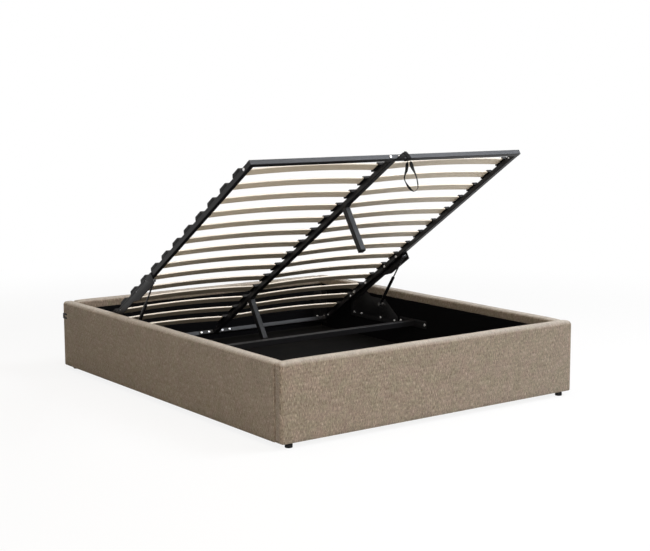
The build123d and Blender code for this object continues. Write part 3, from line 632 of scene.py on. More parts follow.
def strap_webbing():
    """Black polyester webbing: slanted picks across the band and a firm edge."""
    material, net, shader = new_material(
        "strap_webbing", Roughness=0.8, Sheen_Weight=0.03, Sheen_Roughness=0.4, IOR=1.25
    )
    place = surface_place(net)
    u, v = net.part(place, 0), net.part(place, 1)
    slant = net.times(net.plus(u, net.math("PINGPONG", v, 0.003)), 2 * np.pi / 0.0022)
    pick = net.scaled(net.math("SINE", slant), 0.5, 0.5)
    warp = net.scaled(net.math("SINE", net.times(v, 2 * np.pi / 0.003)), 0.5, 0.5)
    lint = net.noise(net.bed_place(), 700.0, 3.0, 0.7)
    colour = net.mix(net.times(pick, lint), (0.005, 0.005, 0.0055), (0.015, 0.015, 0.016))
    dress(net, shader, colour, None, net.plus(pick, warp), 0.0004, 0.8)
    return material


def finish_of(name):
    """A material by name, made the first time it is asked for."""
    look = bpy.context.scene.storage_bed
    if "Slub weave" not in bpy.data.node_groups:
        make_slub_weave()
        make_wood_grain()
        make_handling()
    makers = {
        "chenille": lambda: chenille(look.upholstery),
        "lining_cloth": lining_cloth,
        "coated_steel": lambda: coated_steel(look.steel),
        "strut_paint": lambda: coated_steel(look.steel, "strut_paint", 0.2, 0.05),
        "moulded_plastic": moulded_plastic,
        "zinc_plate": zinc_plate,
        "dark_rod": dark_rod,
        "slat_veneer": lambda: slat_veneer(look.slats),
        "pine_batten": lambda: plain_wood("pine_batten", (0.55, 0.40, 0.24), (0.42, 0.28, 0.15)),
        "panel_board": lambda: plain_wood("panel_board", (0.50, 0.38, 0.25), (0.40, 0.29, 0.18)),
        "dark_board": dark_board,
        "foam_block": foam_block,
        "strap_webbing": strap_webbing,
    }
    return bpy.data.materials.get(name) or makers[name]()


def finish_nodes(material_name, *nodes):
    """Gives CAD nodes a material."""
    for node in nodes:
        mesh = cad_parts[node].data
        mesh.materials.clear()
        mesh.materials.append(finish_of(material_name))


def soften(node, body, material_name, width):
    """A copy of a CAD node with its loose triangles merged, flat faces joined and sharp edges bevelled."""
    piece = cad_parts[node].copy()
    piece.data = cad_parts[node].data.copy()
    piece.name = piece.data.name = f"{node}_soft"
    for key in list(piece.keys()):
        del piece[key]
    bpy.context.scene.collection.objects.link(piece)
    work = bmesh.new()
    work.from_mesh(piece.data)
    bmesh.ops.remove_doubles(work, verts=work.verts, dist=0.00001)
    bmesh.ops.dissolve_limit(work, angle_limit=0.02, verts=work.verts, edges=work.edges)
    bmesh.ops.recalc_face_normals(work, faces=work.faces)
    work.to_mesh(piece.data)
    work.free()
    piece.data.materials.clear()
    piece.data.materials.append(finish_of(material_name))
    piece.data.polygons.foreach_set("use_smooth", np.ones(len(piece.data.polygons), bool))
    bevel = piece.modifiers.new("Soft edges", "BEVEL")
    bevel.width, bevel.segments = width, 2
    bevel.limit_method, bevel.angle_limit = "ANGLE", np.radians(35.0)
    bevel.harden_normals = True
    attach(piece, body)
    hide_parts(node)


# Upholstered panels

SIDE_LENGTH = 2 * INNER_Y + PANEL_THICKNESS
SIDE_SHIFT = PANEL_THICKNESS / 2

# Way inwards, middle of the inner face, length, shift along it, lined length, the top's fullness, end radius
PANELS = {
    "foot_panel": (TO_HEAD, (0.0, -INNER_Y, 0.0), BED_WIDTH, 0.0, 2 * INNER_X, 1.9, 0.013),
    "head_panel": (-TO_HEAD, (0.0, INNER_Y, 0.0), 2 * INNER_X, 0.0, 2 * INNER_X, 1.0, 0.010),
    "left_panel": (ACROSS, (-INNER_X, 0.0, 0.0), SIDE_LENGTH, SIDE_SHIFT, 2 * INNER_Y, 0.6, 0.008),
    "right_panel": (-ACROSS, (INNER_X, 0.0, 0.0), SIDE_LENGTH, -SIDE_SHIFT, 2 * INNER_Y, 1.0, 0.008),
}

# Small offsets of the panels' cloth, in metres
OUTLINE_RADII = np.array([0.006, 0.017, 0.012, 0.008])
WAVE_HEIGHT = 0.0006
TOP_WAVE = 0.0004
UNDER_SAG = 0.0022
LINING_ROOM = 0.0024
LINING_DEPTH = 0.0011
LINING_SLACK = 0.00042
LINING_THICKNESS = 0.0007


def panel_surface(shape, inward, centre, length, shift, crown, tall, radius, seed):
    """A padded panel: a rounded outline of depth and height carried along the wall. At distance d from an
    end the outline is drawn in by r less the root of r squared less (r - d) squared, which rounds the end
    with r. The outer face swells by the crown times (1 - s^6)(1 - t^4), with s and t running -1 to 1 along
    and up it, and long shallow waves of the cover over the wadding are added. The top is domed by its height
    times 1 - c squared, with c running -1 to 1 across it. Below the flap the inner face steps back to make
    room for the lining."""
    along = np.cross(UP, inward)
    height = PANEL_TOP - PANEL_BOTTOM
    flap = (PANEL_TOP - 0.010 - FLAP_BOTTOM) / (height - 0.018)
    flap_edge = np.array([-0.003, 0.0, 0.003, 0.006])
    steps = [
        spaced(0.02, 44, 0.98),
        spaced(0.1, 8, 0.9),
        np.concatenate([spaced(0.03, 4, flap - 0.01), flap + flap_edge, spaced(flap + 0.05, 14, 0.97)]),
        spaced(0.1, 5, 0.9),
    ]
    outline, normal, run = rounded_outline(PANEL_THICKNESS, height, OUTLINE_RADII, steps)
    half = length / 2
    ends = radius * (1.0 - np.cos(np.linspace(0.0, np.pi / 2, 7)))
    start = half - radius - 0.004
    inner = spaced(-start, 10, 0.08 - half, int(length / 0.016), half - 0.08, 10, start)
    place = np.concatenate([-half + ends, inner, half - ends[::-1]])
    from_end = np.minimum(half - np.abs(place), radius)
    draw_in = radius - np.sqrt(np.maximum(radius**2 - (radius - from_end) ** 2, 0.0))
    drawn = []
    for d in draw_in:
        radii = np.maximum(OUTLINE_RADII - d, 0.0005)
        drawn.append(rounded_outline(PANEL_THICKNESS - 2 * d, height - 2 * d, radii, steps)[0] + d)
    depth, rise = np.moveaxis(np.array(drawn), -1, 0)
    s = (place / half)[:, None]
    t = 2 * rise / height - 1.0
    outer = np.maximum(normal[:, 0], 0.0)[None, :]
    top = np.maximum(normal[:, 1], 0.0)[None, :]
    under = np.maximum(-normal[:, 1], 0.0)[None, :]
    swell = (1.0 - s**6) * (1.0 - np.abs(t) ** 4)
    x, z = place[:, None] + 3.1 * seed, rise
    waves = (
        0.40 * np.sin(7.3 * x + 5.0 * np.sin(4.1 * z + seed))
        + 0.35 * np.sin(19.0 * x - 9.0 * z + 2.3 * seed)
        + 0.25 * np.sin(31.0 * z + 6.0 * np.sin(2.9 * x))
    )
    proud = outer * (crown * swell + WAVE_HEIGHT * waves * swell) + top * TOP_WAVE * np.sin(11.0 * x + seed)
    dome = tall * (1.0 - (2.0 * depth / PANEL_THICKNESS - 1.0) ** 2) * (1.0 - s**40)
    depth = depth + proud * normal[None, :, 0]
    rise = rise + proud * normal[None, :, 1] + top * dome - UNDER_SAG * under
    lined = (normal[:, 0] < -0.9) & (outline[:, 1] < FLAP_BOTTOM - PANEL_BOTTOM)
    depth = depth + LINING_ROOM * lined[None, :]
    points = (
        np.array(centre)
        + (place[:, None] + shift)[..., None] * along
        - depth[..., None] * inward
        + (PANEL_BOTTOM + rise)[..., None] * UP
    )
    shape.add_grid(points, np.append(place, 0.0), run, closed=True, caps=(outline, outline + 0.5))


def lining_surface(shape, inward, centre, lined, seed):
    """Lining stapled flat against a wall: a grid of place along and height, its depth a sum of shallow sines
    that die out towards all four edges."""
    along = np.cross(UP, inward)
    place = np.linspace(-lined / 2, lined / 2, int(lined / 0.012))
    rise = np.linspace(LINING_BOTTOM, FLAP_BOTTOM, 40)
    s, z = np.meshgrid(place, rise, indexing="ij")
    edge = smooth_step((lined / 2 - np.abs(s)) / 0.06) * smooth_step((z - LINING_BOTTOM) / 0.05)
    edge = edge * smooth_step((FLAP_BOTTOM - z) / 0.03)
    slack = (
        np.sin(9.0 * s + 3.0 * np.sin(8.0 * z + seed))
        + 0.6 * np.sin(27.0 * s - 14.0 * z + seed)
        + 0.5 * np.sin(48.0 * s + 6.0 * np.sin(21.0 * z))
    )
    depth = LINING_DEPTH + LINING_SLACK * edge * slack
    points = np.array(centre) + s[..., None] * along - depth[..., None] * inward + z[..., None] * UP
    shape.add_grid(points, place, rise)


class DressPanels(bpy.types.Operator):
    """Cover the four panels with padded chenille and line them inside"""

    bl_idname = "storage_bed.dress_panels"
    bl_label = "Cover Panels"

    def execute(self, context):
        look = context.scene.storage_bed.upholstery
        for seed, (name, sizes) in enumerate(PANELS.items()):
            inward, centre, length, shift, lined, fullness, radius = sizes
            tall = fullness * look.dome
            shape = Shape()
            panel_surface(shape, inward, centre, length, shift, look.crown, tall, radius, seed)
            piece = shape.build(f"{name}_upholstery", finish_of("chenille"))
            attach(piece, "base")
            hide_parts(f"{name}_cover", f"{name}_foam")
            shape = Shape()
            lining_surface(shape, inward, centre, lined, seed)
            cloth = shape.build(f"{name}_lining_cloth", finish_of("lining_cloth"))
            wall = cloth.modifiers.new("Thickness", "SOLIDIFY")
            wall.thickness, wall.offset = LINING_THICKNESS, 0.0
            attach(cloth, "base")
            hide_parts(f"{name}_lining")
        finish_nodes("panel_board", *[f"{name}_core" for name in PANELS])
        finish_nodes("foam_block", *[f"{name}_foam" for name in PANELS])
        return {"FINISHED"}


# Sprung slats

def slat_surface(shape, side, along, look, index):
    """A slat: a flat rounded outline carried across the bed, its middle raised by the rise times
    (1 - w squared), with w running -1 to 1 along the slat."""
    edge = look.edge
    side_steps = [spaced(0.3, 1, 0.7), spaced(0.05, 5, 0.95), spaced(0.3, 1, 0.7), spaced(0.05, 5, 0.95)]
    outline, _, run = rounded_outline(look.width, look.thickness, (edge,) * 4, side_steps, 4)
    w = np.linspace(-1.0, 1.0, 33)
    x = side * (SLAT_INNER + (SLAT_OUTER - SLAT_INNER) * (w + 1.0) / 2)
    lift = SLAT_BASE + SLAT_RISE * (1.0 - w**2)
    across_slat = along - look.width / 2 + outline[None, :, 0]
    points = on_lid(x[:, None], across_slat, lift[:, None] + outline[None, :, 1])
    own = OWN_PLACE * index
    ends = outline + [0.0, own]
    shape.add_grid(points, x, run + own, closed=True, caps=(ends, ends))


class FitSlats(bpy.types.Operator):
    """Fit the bowed slats and their plastic caps on the lid"""

    bl_idname = "storage_bed.fit_slats"
    bl_label = "Fit Slats"

    def execute(self, context):
        look = context.scene.storage_bed.slats
        for name, side in (("left", -1.0), ("right", 1.0)):
            shape = Shape()
            for index in range(SLAT_COUNT):
                slat_surface(shape, side, FIRST_SLAT + index * SLAT_PITCH, look, index + 20 * (side > 0))
            piece = shape.build(f"bowed_slats_{name}", finish_of("slat_veneer"))
            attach(piece, "lid")
            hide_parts(f"slats_{name}")
        for node in ("slat_caps_left", "slat_caps_centre", "slat_caps_right"):
            soften(node, "lid", "moulded_plastic", 0.0012)
        return {"FINISHED"}


# Steel, plastic and wooden parts that keep their solids' shape

class FinishSteel(bpy.types.Operator):
    """Coat the tubes and soften the edges of plates, brackets and angles"""

    bl_idname = "storage_bed.finish_steel"
    bl_label = "Finish Steel"

    def execute(self, context):
        edge = context.scene.storage_bed.steel.bevel
        finish_nodes("coated_steel", "lid_rail_left", "lid_rail_centre", "lid_rail_right")
        finish_nodes("coated_steel", "lid_foot_bar", "lid_head_bar", "cross_bar", "centre_legs")
        bent_steel = {
            "base": (
                "corner_angles_foot",
                "corner_angles_head",
                "cross_bar_plates",
                "base_plate_left",
                "base_plate_right",
                "headboard_keepers",
            ),
            "lid": ("lid_angles", "lid_bracket_left", "lid_bracket_right"),
        }
        for body, nodes in bent_steel.items():
            for node in nodes:
                soften(node, body, "coated_steel", edge)
        finish_nodes("zinc_plate", "hinge_pins", "hinge_nuts", "lower_studs", "upper_studs")
        return {"FINISHED"}


class FinishStruts(bpy.types.Operator):
    """Paint the gas struts and polish their rods"""

    bl_idname = "storage_bed.finish_struts"
    bl_label = "Finish Struts"

    def execute(self, context):
        finish_nodes("strut_paint", "strut_cylinder_left", "strut_cylinder_right")
        finish_nodes("dark_rod", "strut_rod_left", "strut_rod_right")
        return {"FINISHED"}


class FinishBase(bpy.types.Operator):
    """Finish the storage floor, its battens and all the feet"""

    bl_idname = "storage_bed.finish_base"
    bl_label = "Finish Base"

    def execute(self, context):
        finish_nodes("dark_board", "floor_board_foot", "floor_board_middle", "floor_board_head")
        finish_nodes("pine_batten", "side_cleats", "floor_battens")
        soften("feet", "base", "moulded_plastic", 0.0012)
        soften("batten_feet", "base", "moulded_plastic", 0.0012)
        soften("leg_caps", "lid", "moulded_plastic", 0.001)
        return {"FINISHED"}


# Bolts

# Lengths of the bolts' shanks in the box, in the lid's frame and in its brackets
BOX_SHANK = 0.028
FRAME_SHANK = 0.030
BRACKET_SHANK = 0.0275

# Thickness of the corner brackets, the plates on the side panels and the lid's angles
CORNER_STEEL = 0.003
PLATE_STEEL = 0.004
ANGLE_STEEL = 0.0025

# The box's bolts: inset from a corner, heights, and places along and above the floor on a side panel
CORNER_BOLT_INSET = 0.032
CORNER_BOLT_HEIGHTS = (0.130, 0.250)
BASE_PLATE_BOLTS = ((0.28015, 0.2), (0.40885, 0.2), (0.592, 0.2), (0.6622, 0.2))
CROSS_BAR_BOLTS = ((0.009, 0.21), (0.221, 0.21))

# The lid's bolts: inset from a corner along it, places across it, and places along a bracket by shares of it
FRAME_BOLT_INSET = 0.062
FOOT_BAR_BOLT = 0.027
HEAD_BAR_BOLTS = (0.045, 0.095)
BRACKET_START = 1.085
BRACKET_LENGTH = 0.615
BRACKET_BOLT_SHARES = (0.117, 0.32, 0.665, 0.951)
BRACKET_BOLT_HEIGHT = 0.010

# A bolt: radii of its shank, head, flat crown and socket, heights of its rim and head, and its socket's depth
SHANK_RADIUS = 0.004
HEAD_RADIUS = 0.0075
CROWN_RADIUS = 0.0035
SOCKET_RADIUS = 0.0023
RIM_HEIGHT = 0.0003
HEAD_HEIGHT = 0.0036
SOCKET_DEPTH = 0.0019


def bolt_surface(shape, foot, way, length):
    """A button-head bolt: a profile of radius against height turned about its axis. The head is a part of an
    ellipse, and the socket's radius is a over the cosine of the angle folded into a sixth of a turn, which
    makes it a hexagon with a across half its flats."""
    way = np.array(way, float)
    side = np.cross(way, LID_UP if abs(way @ LID_UP) < 0.9 else ACROSS)
    side = side / np.linalg.norm(side)
    other = np.cross(way, side)
    angle = np.linspace(0.0, 2 * np.pi, 24, endpoint=False)
    folded = np.mod(angle, np.pi / 3) - np.pi / 6
    hexagon = SOCKET_RADIUS / np.cos(folded)
    rows = [(0.8 * SHANK_RADIUS, -length), (SHANK_RADIUS, -length + 0.0008), (SHANK_RADIUS, 0.0)]
    rows += [(0.99 * HEAD_RADIUS, 0.0), (HEAD_RADIUS, RIM_HEIGHT)]
    for turned in np.linspace(0.0, 0.94, 7)[1:] * np.pi / 2:
        out = CROWN_RADIUS + (HEAD_RADIUS - CROWN_RADIUS) * np.cos(turned)
        rows.append((out, RIM_HEIGHT + (HEAD_HEIGHT - RIM_HEIGHT) * np.sin(turned)))
    reach = np.array([r for r, _ in rows])[:, None] + 0.0 * angle[None, :]
    lift = np.array([h for _, h in rows])
    reach = np.concatenate([reach, hexagon[None, :], hexagon[None, :], 0.3 * hexagon[None, :]])
    lift = np.concatenate([lift, HEAD_HEIGHT - np.array([0.0, SOCKET_DEPTH, SOCKET_DEPTH + 0.0002])])
    points = (
        np.array(foot)
        + reach[..., None] * (np.cos(angle)[:, None] * side + np.sin(angle)[:, None] * other)[None]
        + lift[:, None, None] * way
    )
    turn = np.append(angle, 2 * np.pi) * 0.004
    ring = np.stack([np.cos(angle), np.sin(angle)], -1) * 0.003
    shape.add_grid(points, lift, turn, closed=True, caps=(ring, ring))


class FitBolts(bpy.types.Operator):
    """Fit the button-head bolts of the box, the mechanism and the lid"""

    bl_idname = "storage_bed.fit_bolts"
    bl_label = "Fit Bolts"

    def execute(self, context):
        corner, mechanism, frame_set, bracket = Shape(), Shape(), Shape(), Shape()
        for side in (-1.0, 1.0):
            for end in (-1.0, 1.0):
                for z in CORNER_BOLT_HEIGHTS:
                    for inset, rest, way in (
                        (CORNER_BOLT_INSET, CORNER_STEEL, (0, -end, 0)),
                        (CORNER_STEEL, CORNER_BOLT_INSET, (-side, 0, 0)),
                    ):
                        foot = (side * (INNER_X - inset), end * (INNER_Y - rest), z)
                        bolt_surface(corner, foot, way, BOX_SHANK)
            for y, z in BASE_PLATE_BOLTS + CROSS_BAR_BOLTS:
                foot = (side * (INNER_X - PLATE_STEEL), y, z)
                bolt_surface(mechanism, foot, (-side, 0, 0), BOX_SHANK)
            for along in (FRAME_BOLT_INSET, LID_LENGTH - FRAME_BOLT_INSET):
                foot = on_lid(side * LID_HALF_WIDTH, along, TUBE / 2)
                bolt_surface(frame_set, foot, side * ACROSS, FRAME_SHANK)
            foot = on_lid(side * FOOT_BAR_BOLT, 0.0, TUBE / 2)
            bolt_surface(frame_set, foot, -LID_ALONG, FRAME_SHANK)
            for x in HEAD_BAR_BOLTS:
                foot = on_lid(side * x, LID_LENGTH - TUBE - ANGLE_STEEL, TUBE / 2)
                bolt_surface(frame_set, foot, -LID_ALONG, FRAME_SHANK)
            for share in BRACKET_BOLT_SHARES:
                along = BRACKET_START + BRACKET_LENGTH * share
                foot = on_lid(side * (LID_HALF_WIDTH - TUBE), along, BRACKET_BOLT_HEIGHT)
                bolt_surface(bracket, foot, -side * ACROSS, BRACKET_SHANK)
        for shape, node, body in (
            (corner, "corner_bolts", "base"),
            (mechanism, "mechanism_bolts", "base"),
            (frame_set, "lid_frame_bolts", "lid"),
            (bracket, "bracket_bolts", "lid"),
        ):
            piece = shape.build(f"{node}_zinc", finish_of("zinc_plate"))
            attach(piece, body)
            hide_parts(node)
        return {"FINISHED"}


# Pull strap

# Place of the strap across the lid, in metres
STRAP_X = 0.066

# Both edges of the webbing in mm from the strap's place: across, along and above the lid's underside
FOLD_RING = [
    (1.5, -2.5, -0.2, 26.0, -2.5, -0.3),
    (-1.5, -2.8, 10.0, 23.4, -2.8, 10.0),
    (-4.0, -2.8, 18.0, 20.8, -2.8, 18.0),
    (-6.0, -2.4, 24.5, 19.0, -1.6, 25.1),
    (-2.0, -0.4, 32.5, 18.0, 1.0, 32.6),
    (5.4, 3.4, 41.0, 15.6, 3.6, 39.0),
    (4.5, 13.0, 37.5, 17.0, 13.0, 37.0),
    (0.0, 23.5, 29.0, 20.0, 23.5, 29.0),
    (-1.0, 26.4, 20.0, 22.0, 26.4, 20.0),
    (0.0, 26.4, 6.0, 24.0, 26.4, 6.0),
    (0.8, 25.0, -0.4, 25.6, 25.0, -0.4),
    (1.2, 20.0, -0.9, 26.0, 20.0, -0.9),
    (1.4, 11.0, -0.9, 26.3, 11.0, -0.9),
    (1.5, 1.5, -0.95, 26.3, 1.5, -0.95),
]
FOLD_TAIL = [
    (6.5, 2.6, 39.4, 14.0, -0.9, 17.0),
    (-12.1, 1.0, 32.0, 5.0, -0.9, 13.0),
    (-27.0, -2.0, 24.3, -1.0, -0.9, 9.5),
    (-39.6, -5.8, 16.8, -6.0, -0.9, 6.5),
    (-53.0, -5.8, 8.0, -11.0, -0.9, 3.5),
    (-66.0, -2.0, 0.6, -16.5, -0.9, 0.5),
    (-69.0, 0.6, -0.9, -18.0, 0.6, -0.9),
    (-70.5, 5.0, -0.9, -20.0, 5.0, -0.9),
    (-74.0, 14.0, -0.9, -26.0, 14.0, -0.9),
]

# The loop's turn in degrees about the upright line, and the lean and the width that its table is drawn for
LOOP_TURN = 37.0
FULL_LEAN = 38.0
FULL_WIDTH = 25.0
MM = 0.001

# The loop's middle line in mm from its top: across the photo's view and up, then its width's lean inwards in
# degrees and half its width in mm
LOOP_TOP = np.array([0.081, -0.7343066, 1.1923292])
LOOP_KNOTS = [
    (0.0, -1.2, 10, 1.2),
    (-1.8, -8.0, 30, 3.2),
    (-4.4, -18.2, 38, 10.0),
    (-6.9, -45.9, 28, 12.5),
    (-14.4, -69.7, 12, 12.5),
    (-16.6, -87.6, 9, 12.5),
    (-10.0, -105.5, 9, 12.5),
    (7.8, -132.4, 26, 12.5),
    (28.8, -148.0, 8, 12.5),
    (46.1, -135.4, 9, 12.5),
    (47.7, -117.5, 13, 12.5),
    (42.7, -87.6, 13, 12.5),
    (33.2, -60.8, 16, 12.5),
    (25.2, -43.9, 28, 12.5),
    (18.5, -28.1, 42, 12.5),
    (14.0, -13.6, 50, 10.5),
    (12.2, -4.2, 50, 4.0),
]


def ribbon_surface(shape, one_edge, other_edge, thickness, closed=False):
    """Webbing between two lines of points: at each pair a flat rounded outline reaches from one to the
    other, its thickness along the cross product of the ribbon's direction with the line between the pair."""
    middle = (one_edge + other_edge) / 2
    if closed:
        ahead = np.roll(middle, -1, 0) - np.roll(middle, 1, 0)
    else:
        ahead = np.gradient(middle, axis=0)
    wide = other_edge - one_edge
    thick = np.cross(ahead, wide)
    thick = thick / np.linalg.norm(thick, axis=1, keepdims=True)
    steps = [[0.5], spaced(0.08, 4, 0.92), [0.5], spaced(0.08, 4, 0.92)]
    drawn_width = FULL_WIDTH * MM
    outline, _, run = rounded_outline(drawn_width, thickness, (thickness * 0.45,) * 4, steps, 2)
    share, height = outline[None, :, 0:1] / drawn_width - 0.5, outline[None, :, 1:2] - thickness / 2
    points = middle[:, None, :] + share * wide[:, None, :] + height * thick[:, None, :]
    steps_along = np.linalg.norm(np.roll(middle, -1, 0) - middle, axis=1)
    length = np.concatenate([[0.0], np.cumsum(steps_along)])
    caps = None if closed else (outline, outline)
    shape.add_grid(points, length, run, closed=True, ring=closed, caps=caps)


def spline_through(knots, samples, closed=False):
    """A smooth curve through knots, closed or open: between two of them the Catmull-Rom cubic of the four
    around."""
    knots = np.asarray(knots, float)
    if closed:
        padded = np.concatenate([knots[-1:], knots, knots[:2]])
        t = np.linspace(0.0, len(knots), samples, endpoint=False)
    else:
        padded = np.concatenate([2 * knots[:1] - knots[1:2], knots, 2 * knots[-1:] - knots[-2:-1]])
        t = np.linspace(0.0, len(knots) - 1.0001, samples)
    k, f = t.astype(int), (t % 1.0)[:, None]
    a, b, c, d = padded[k], padded[k + 1], padded[k + 2], padded[k + 3]
    return 0.5 * (2 * b + (c - a) * f + (2 * a - 5 * b + 4 * c - d) * f**2 + (3 * b - a - 3 * c + d) * f**3)


class HangStrap(bpy.types.Operator):
    """Fold the webbing round the foot bar and hang its hand loop"""

    bl_idname = "storage_bed.hang_strap"
    bl_label = "Hang Strap"

    def execute(self, context):
        look = context.scene.storage_bed.strap
        self.fold(look)
        self.hang_loop(look)
        return {"FINISHED"}

    def fold(self, look):
        """The webbing that goes round the foot bar, and its tail."""
        shape = Shape()
        for knots, samples, closed in ((FOLD_RING, 150, True), (FOLD_TAIL, 80, False)):
            line = spline_through(np.array(knots) * MM, samples, closed)
            edges = [on_lid(STRAP_X + line[:, k], line[:, k + 1], line[:, k + 2]) for k in (0, 3)]
            ribbon_surface(shape, *edges, look.thickness, closed)
        fold = shape.build("strap_fold_webbing", finish_of("strap_webbing"))
        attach(fold, "lid")
        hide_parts("strap_fold")

    def hang_loop(self, look):
        """The hand loop: its width leans from the way it faces towards its inside."""
        turn = np.radians(LOOP_TURN)
        right = np.array([np.cos(turn), -np.sin(turn), 0.0])
        facing = np.array([-np.sin(turn), -np.cos(turn), 0.0])
        units = (MM, MM, look.lean / FULL_LEAN, look.width / FULL_WIDTH)
        flat = spline_through(np.array(LOOP_KNOTS) * units, 140)
        path = LOOP_TOP + flat[:, 0:1] * right + flat[:, 1:2] * UP
        inside = np.cross(facing, np.gradient(path, axis=0))
        inside = inside / np.linalg.norm(inside, axis=1, keepdims=True)
        lean = flat[:, 2:3]
        way = np.cos(lean) * facing + np.sin(lean) * inside
        half = flat[:, 3:4]
        shape = Shape()
        ribbon_surface(shape, path - half * way, path + half * way, look.thickness)
        loop = shape.build("hand_loop_webbing", finish_of("strap_webbing"))
        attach(loop, "strap")
        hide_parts("strap_loop")


# Studio

# The fitted camera. In the photo's pixels: its width, the focal length and the axis's place across it. Then the
# camera's place in metres and its angles in radians
PHOTO_WIDTH = 650.0
FOCAL_LENGTH = 1344.87
AXIS_PLACE = 350.88
CAMERA_PLACE = (-4.00542, -5.69785, 1.53664)
CAMERA_YAW = 0.646404
CAMERA_PITCH = 0.138961


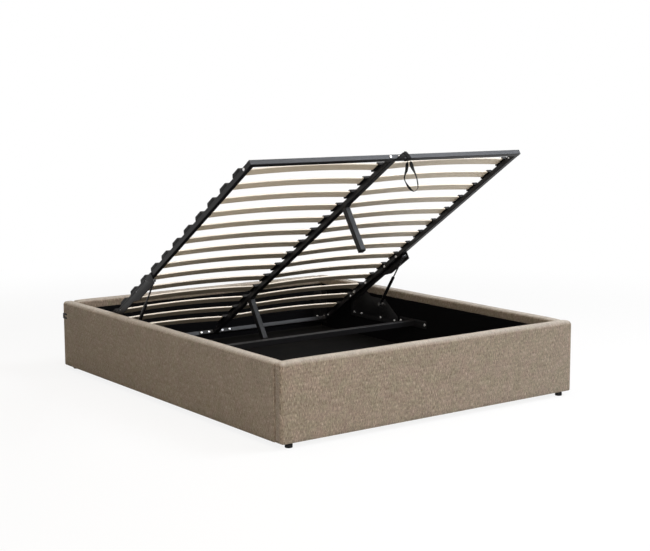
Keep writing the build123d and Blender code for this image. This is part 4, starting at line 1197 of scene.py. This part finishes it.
class SetStage(bpy.types.Operator):
    """Set the pale floor, the soft lights and the camera"""

    bl_idname = "storage_bed.set_stage"
    bl_label = "Set Stage"

    def execute(self, context):
        look = context.scene.storage_bed.studio
        self.lay_paper(look)
        self.surround(look)
        self.add_lamp("key_light", look.key, 2.6, (3.4, -2.7, 4.9), (0.0, -0.3, 0.4), (0.87, 0.92, 1.0))
        self.add_lamp("fill_light", look.fill, 3.0, (-2.2, -5.2, 2.8), (0.0, -0.3, 0.3), (1.0, 0.93, 0.84))
        self.add_lamp("top_light", look.top, 4.0, (-0.4, 0.0, 4.8), (0.0, 0.0, 0.3), (1.0, 0.88, 0.75))
        self.set_camera()
        return {"FINISHED"}

    def lay_paper(self, look):
        """A pale floor that fades into white away from the bed."""
        material = bpy.data.materials.new("studio_paper")
        net = emptied(material)
        matt = net.add("ShaderNodeBsdfDiffuse", {"Color": (look.paper, look.paper, look.paper, 1.0)})
        glow = net.add("ShaderNodeEmission", {"Color": (1.0, 1.0, 1.0, 1.0), "Strength": 1.0})
        light_path = net.add("ShaderNodeLightPath").outputs
        seen = net.math("MAXIMUM", light_path["Is Camera Ray"], net.times(light_path["Is Glossy Ray"], 0.9))
        away = net.add("ShaderNodeVectorMath", {0: net.bed_place()}, operation="LENGTH")
        share = net.times(seen, net.ramp(away.outputs["Value"], 2.2, 5.0, 0.87, 1.0))
        paper = net.add("ShaderNodeMixShader", {0: share, 1: matt.outputs[0], 2: glow.outputs[0]})
        finish = net.add("ShaderNodeOutputMaterial")
        net.link(paper.outputs[0], finish.inputs[0])
        reach = np.array([-30.0, 30.0])
        x, y = np.meshgrid(reach, reach, indexing="ij")
        floor_shape = Shape()
        floor_shape.add_grid(np.stack([x, y, 0.0 * x - 0.0002], -1), reach, reach)
        floor = floor_shape.build("studio_floor", material, smooth=False)

    def surround(self, look):
        """A world that is white to the camera and gives an even warm light."""
        world = bpy.data.worlds.new("studio_world")
        bpy.context.scene.world = world
        net = emptied(world)
        even = net.add("ShaderNodeBackground", {"Color": (1.0, 0.965, 0.90, 1.0), "Strength": look.sky})
        white = net.add("ShaderNodeBackground", {"Color": (1.0, 1.0, 1.0, 1.0), "Strength": 1.0})
        light_path = net.add("ShaderNodeLightPath").outputs
        seen = net.math("MAXIMUM", light_path["Is Camera Ray"], light_path["Is Transmission Ray"])
        seen = net.math("MAXIMUM", seen, net.times(light_path["Is Glossy Ray"], 0.5))
        sky = net.add("ShaderNodeMixShader", {0: seen, 1: even.outputs[0], 2: white.outputs[0]})
        finish = net.add("ShaderNodeOutputWorld")
        net.link(sky.outputs[0], finish.inputs[0])

    def set_camera(self):
        """The photo's view."""
        lens = bpy.data.cameras.new("photo_view")
        lens.sensor_width = 36.0
        lens.lens = FOCAL_LENGTH / PHOTO_WIDTH * lens.sensor_width
        lens.shift_x = (PHOTO_WIDTH / 2 - AXIS_PLACE) / PHOTO_WIDTH
        camera = bpy.data.objects.new("photo_view", lens)
        flat = np.cos(CAMERA_PITCH)
        looking = Vector((np.sin(CAMERA_YAW) * flat, np.cos(CAMERA_YAW) * flat, -np.sin(CAMERA_PITCH)))
        camera.location = CAMERA_PLACE
        camera.rotation_euler = looking.to_track_quat("-Z", "Y").to_euler()
        scene = bpy.context.scene
        scene.collection.objects.link(camera)
        scene.camera = camera
        scene.view_settings.view_transform = "Standard"

    def add_lamp(self, name, power, size, place, target, colour):
        """A square area light that faces a target."""
        lamp = bpy.data.lights.new(name, "AREA")
        lamp.shape, lamp.size, lamp.energy, lamp.color = "SQUARE", size, power, colour
        holder = bpy.data.objects.new(name, lamp)
        holder.location = place
        holder.rotation_euler = (Vector(target) - Vector(place)).to_track_quat("-Z", "Y").to_euler()
        bpy.context.scene.collection.objects.link(holder)


class StorageBedPanel(bpy.types.Panel):
    """Settings and steps of the storage bed"""

    bl_idname = "VIEW3D_PT_storage_bed"
    bl_label = "Storage Bed"
    bl_space_type = "VIEW_3D"
    bl_region_type = "UI"
    bl_category = "Storage Bed"

    def draw(self, context):
        look = context.scene.storage_bed
        steps = {
            "upholstery": [DressPanels],
            "slats": [FitSlats],
            "steel": [FinishSteel, FinishStruts, FinishBase, FitBolts],
            "strap": [HangStrap],
            "studio": [SetStage],
        }
        for part, operators in steps.items():
            box = self.layout.box()
            settings = getattr(look, part)
            for name in settings.bl_rna.properties.keys():
                if name not in ("rna_type", "name"):
                    box.prop(settings, name)
            for operator in operators:
                box.operator(operator.bl_idname)


CLASSES = (
    UpholsteryLook,
    SlatLook,
    SteelLook,
    StrapLook,
    StudioLook,
    StorageBedLook,
    DressPanels,
    FitSlats,
    FinishSteel,
    FinishStruts,
    FinishBase,
    FitBolts,
    HangStrap,
    SetStage,
    StorageBedPanel,
)


def register():
    for cls in CLASSES:
        bpy.utils.register_class(cls)
    bpy.types.Scene.storage_bed = PointerProperty(type=StorageBedLook)


def unregister():
    del bpy.types.Scene.storage_bed
    for cls in reversed(CLASSES):
        bpy.utils.unregister_class(cls)


def main():
    """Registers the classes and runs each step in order."""
    register()
    steps = bpy.ops.storage_bed
    steps.set_stage()
    steps.dress_panels()
    steps.fit_slats()
    steps.finish_steel()
    steps.finish_struts()
    steps.finish_base()
    steps.fit_bolts()
    steps.hang_strap()


if __name__ == "__main__":
    main()
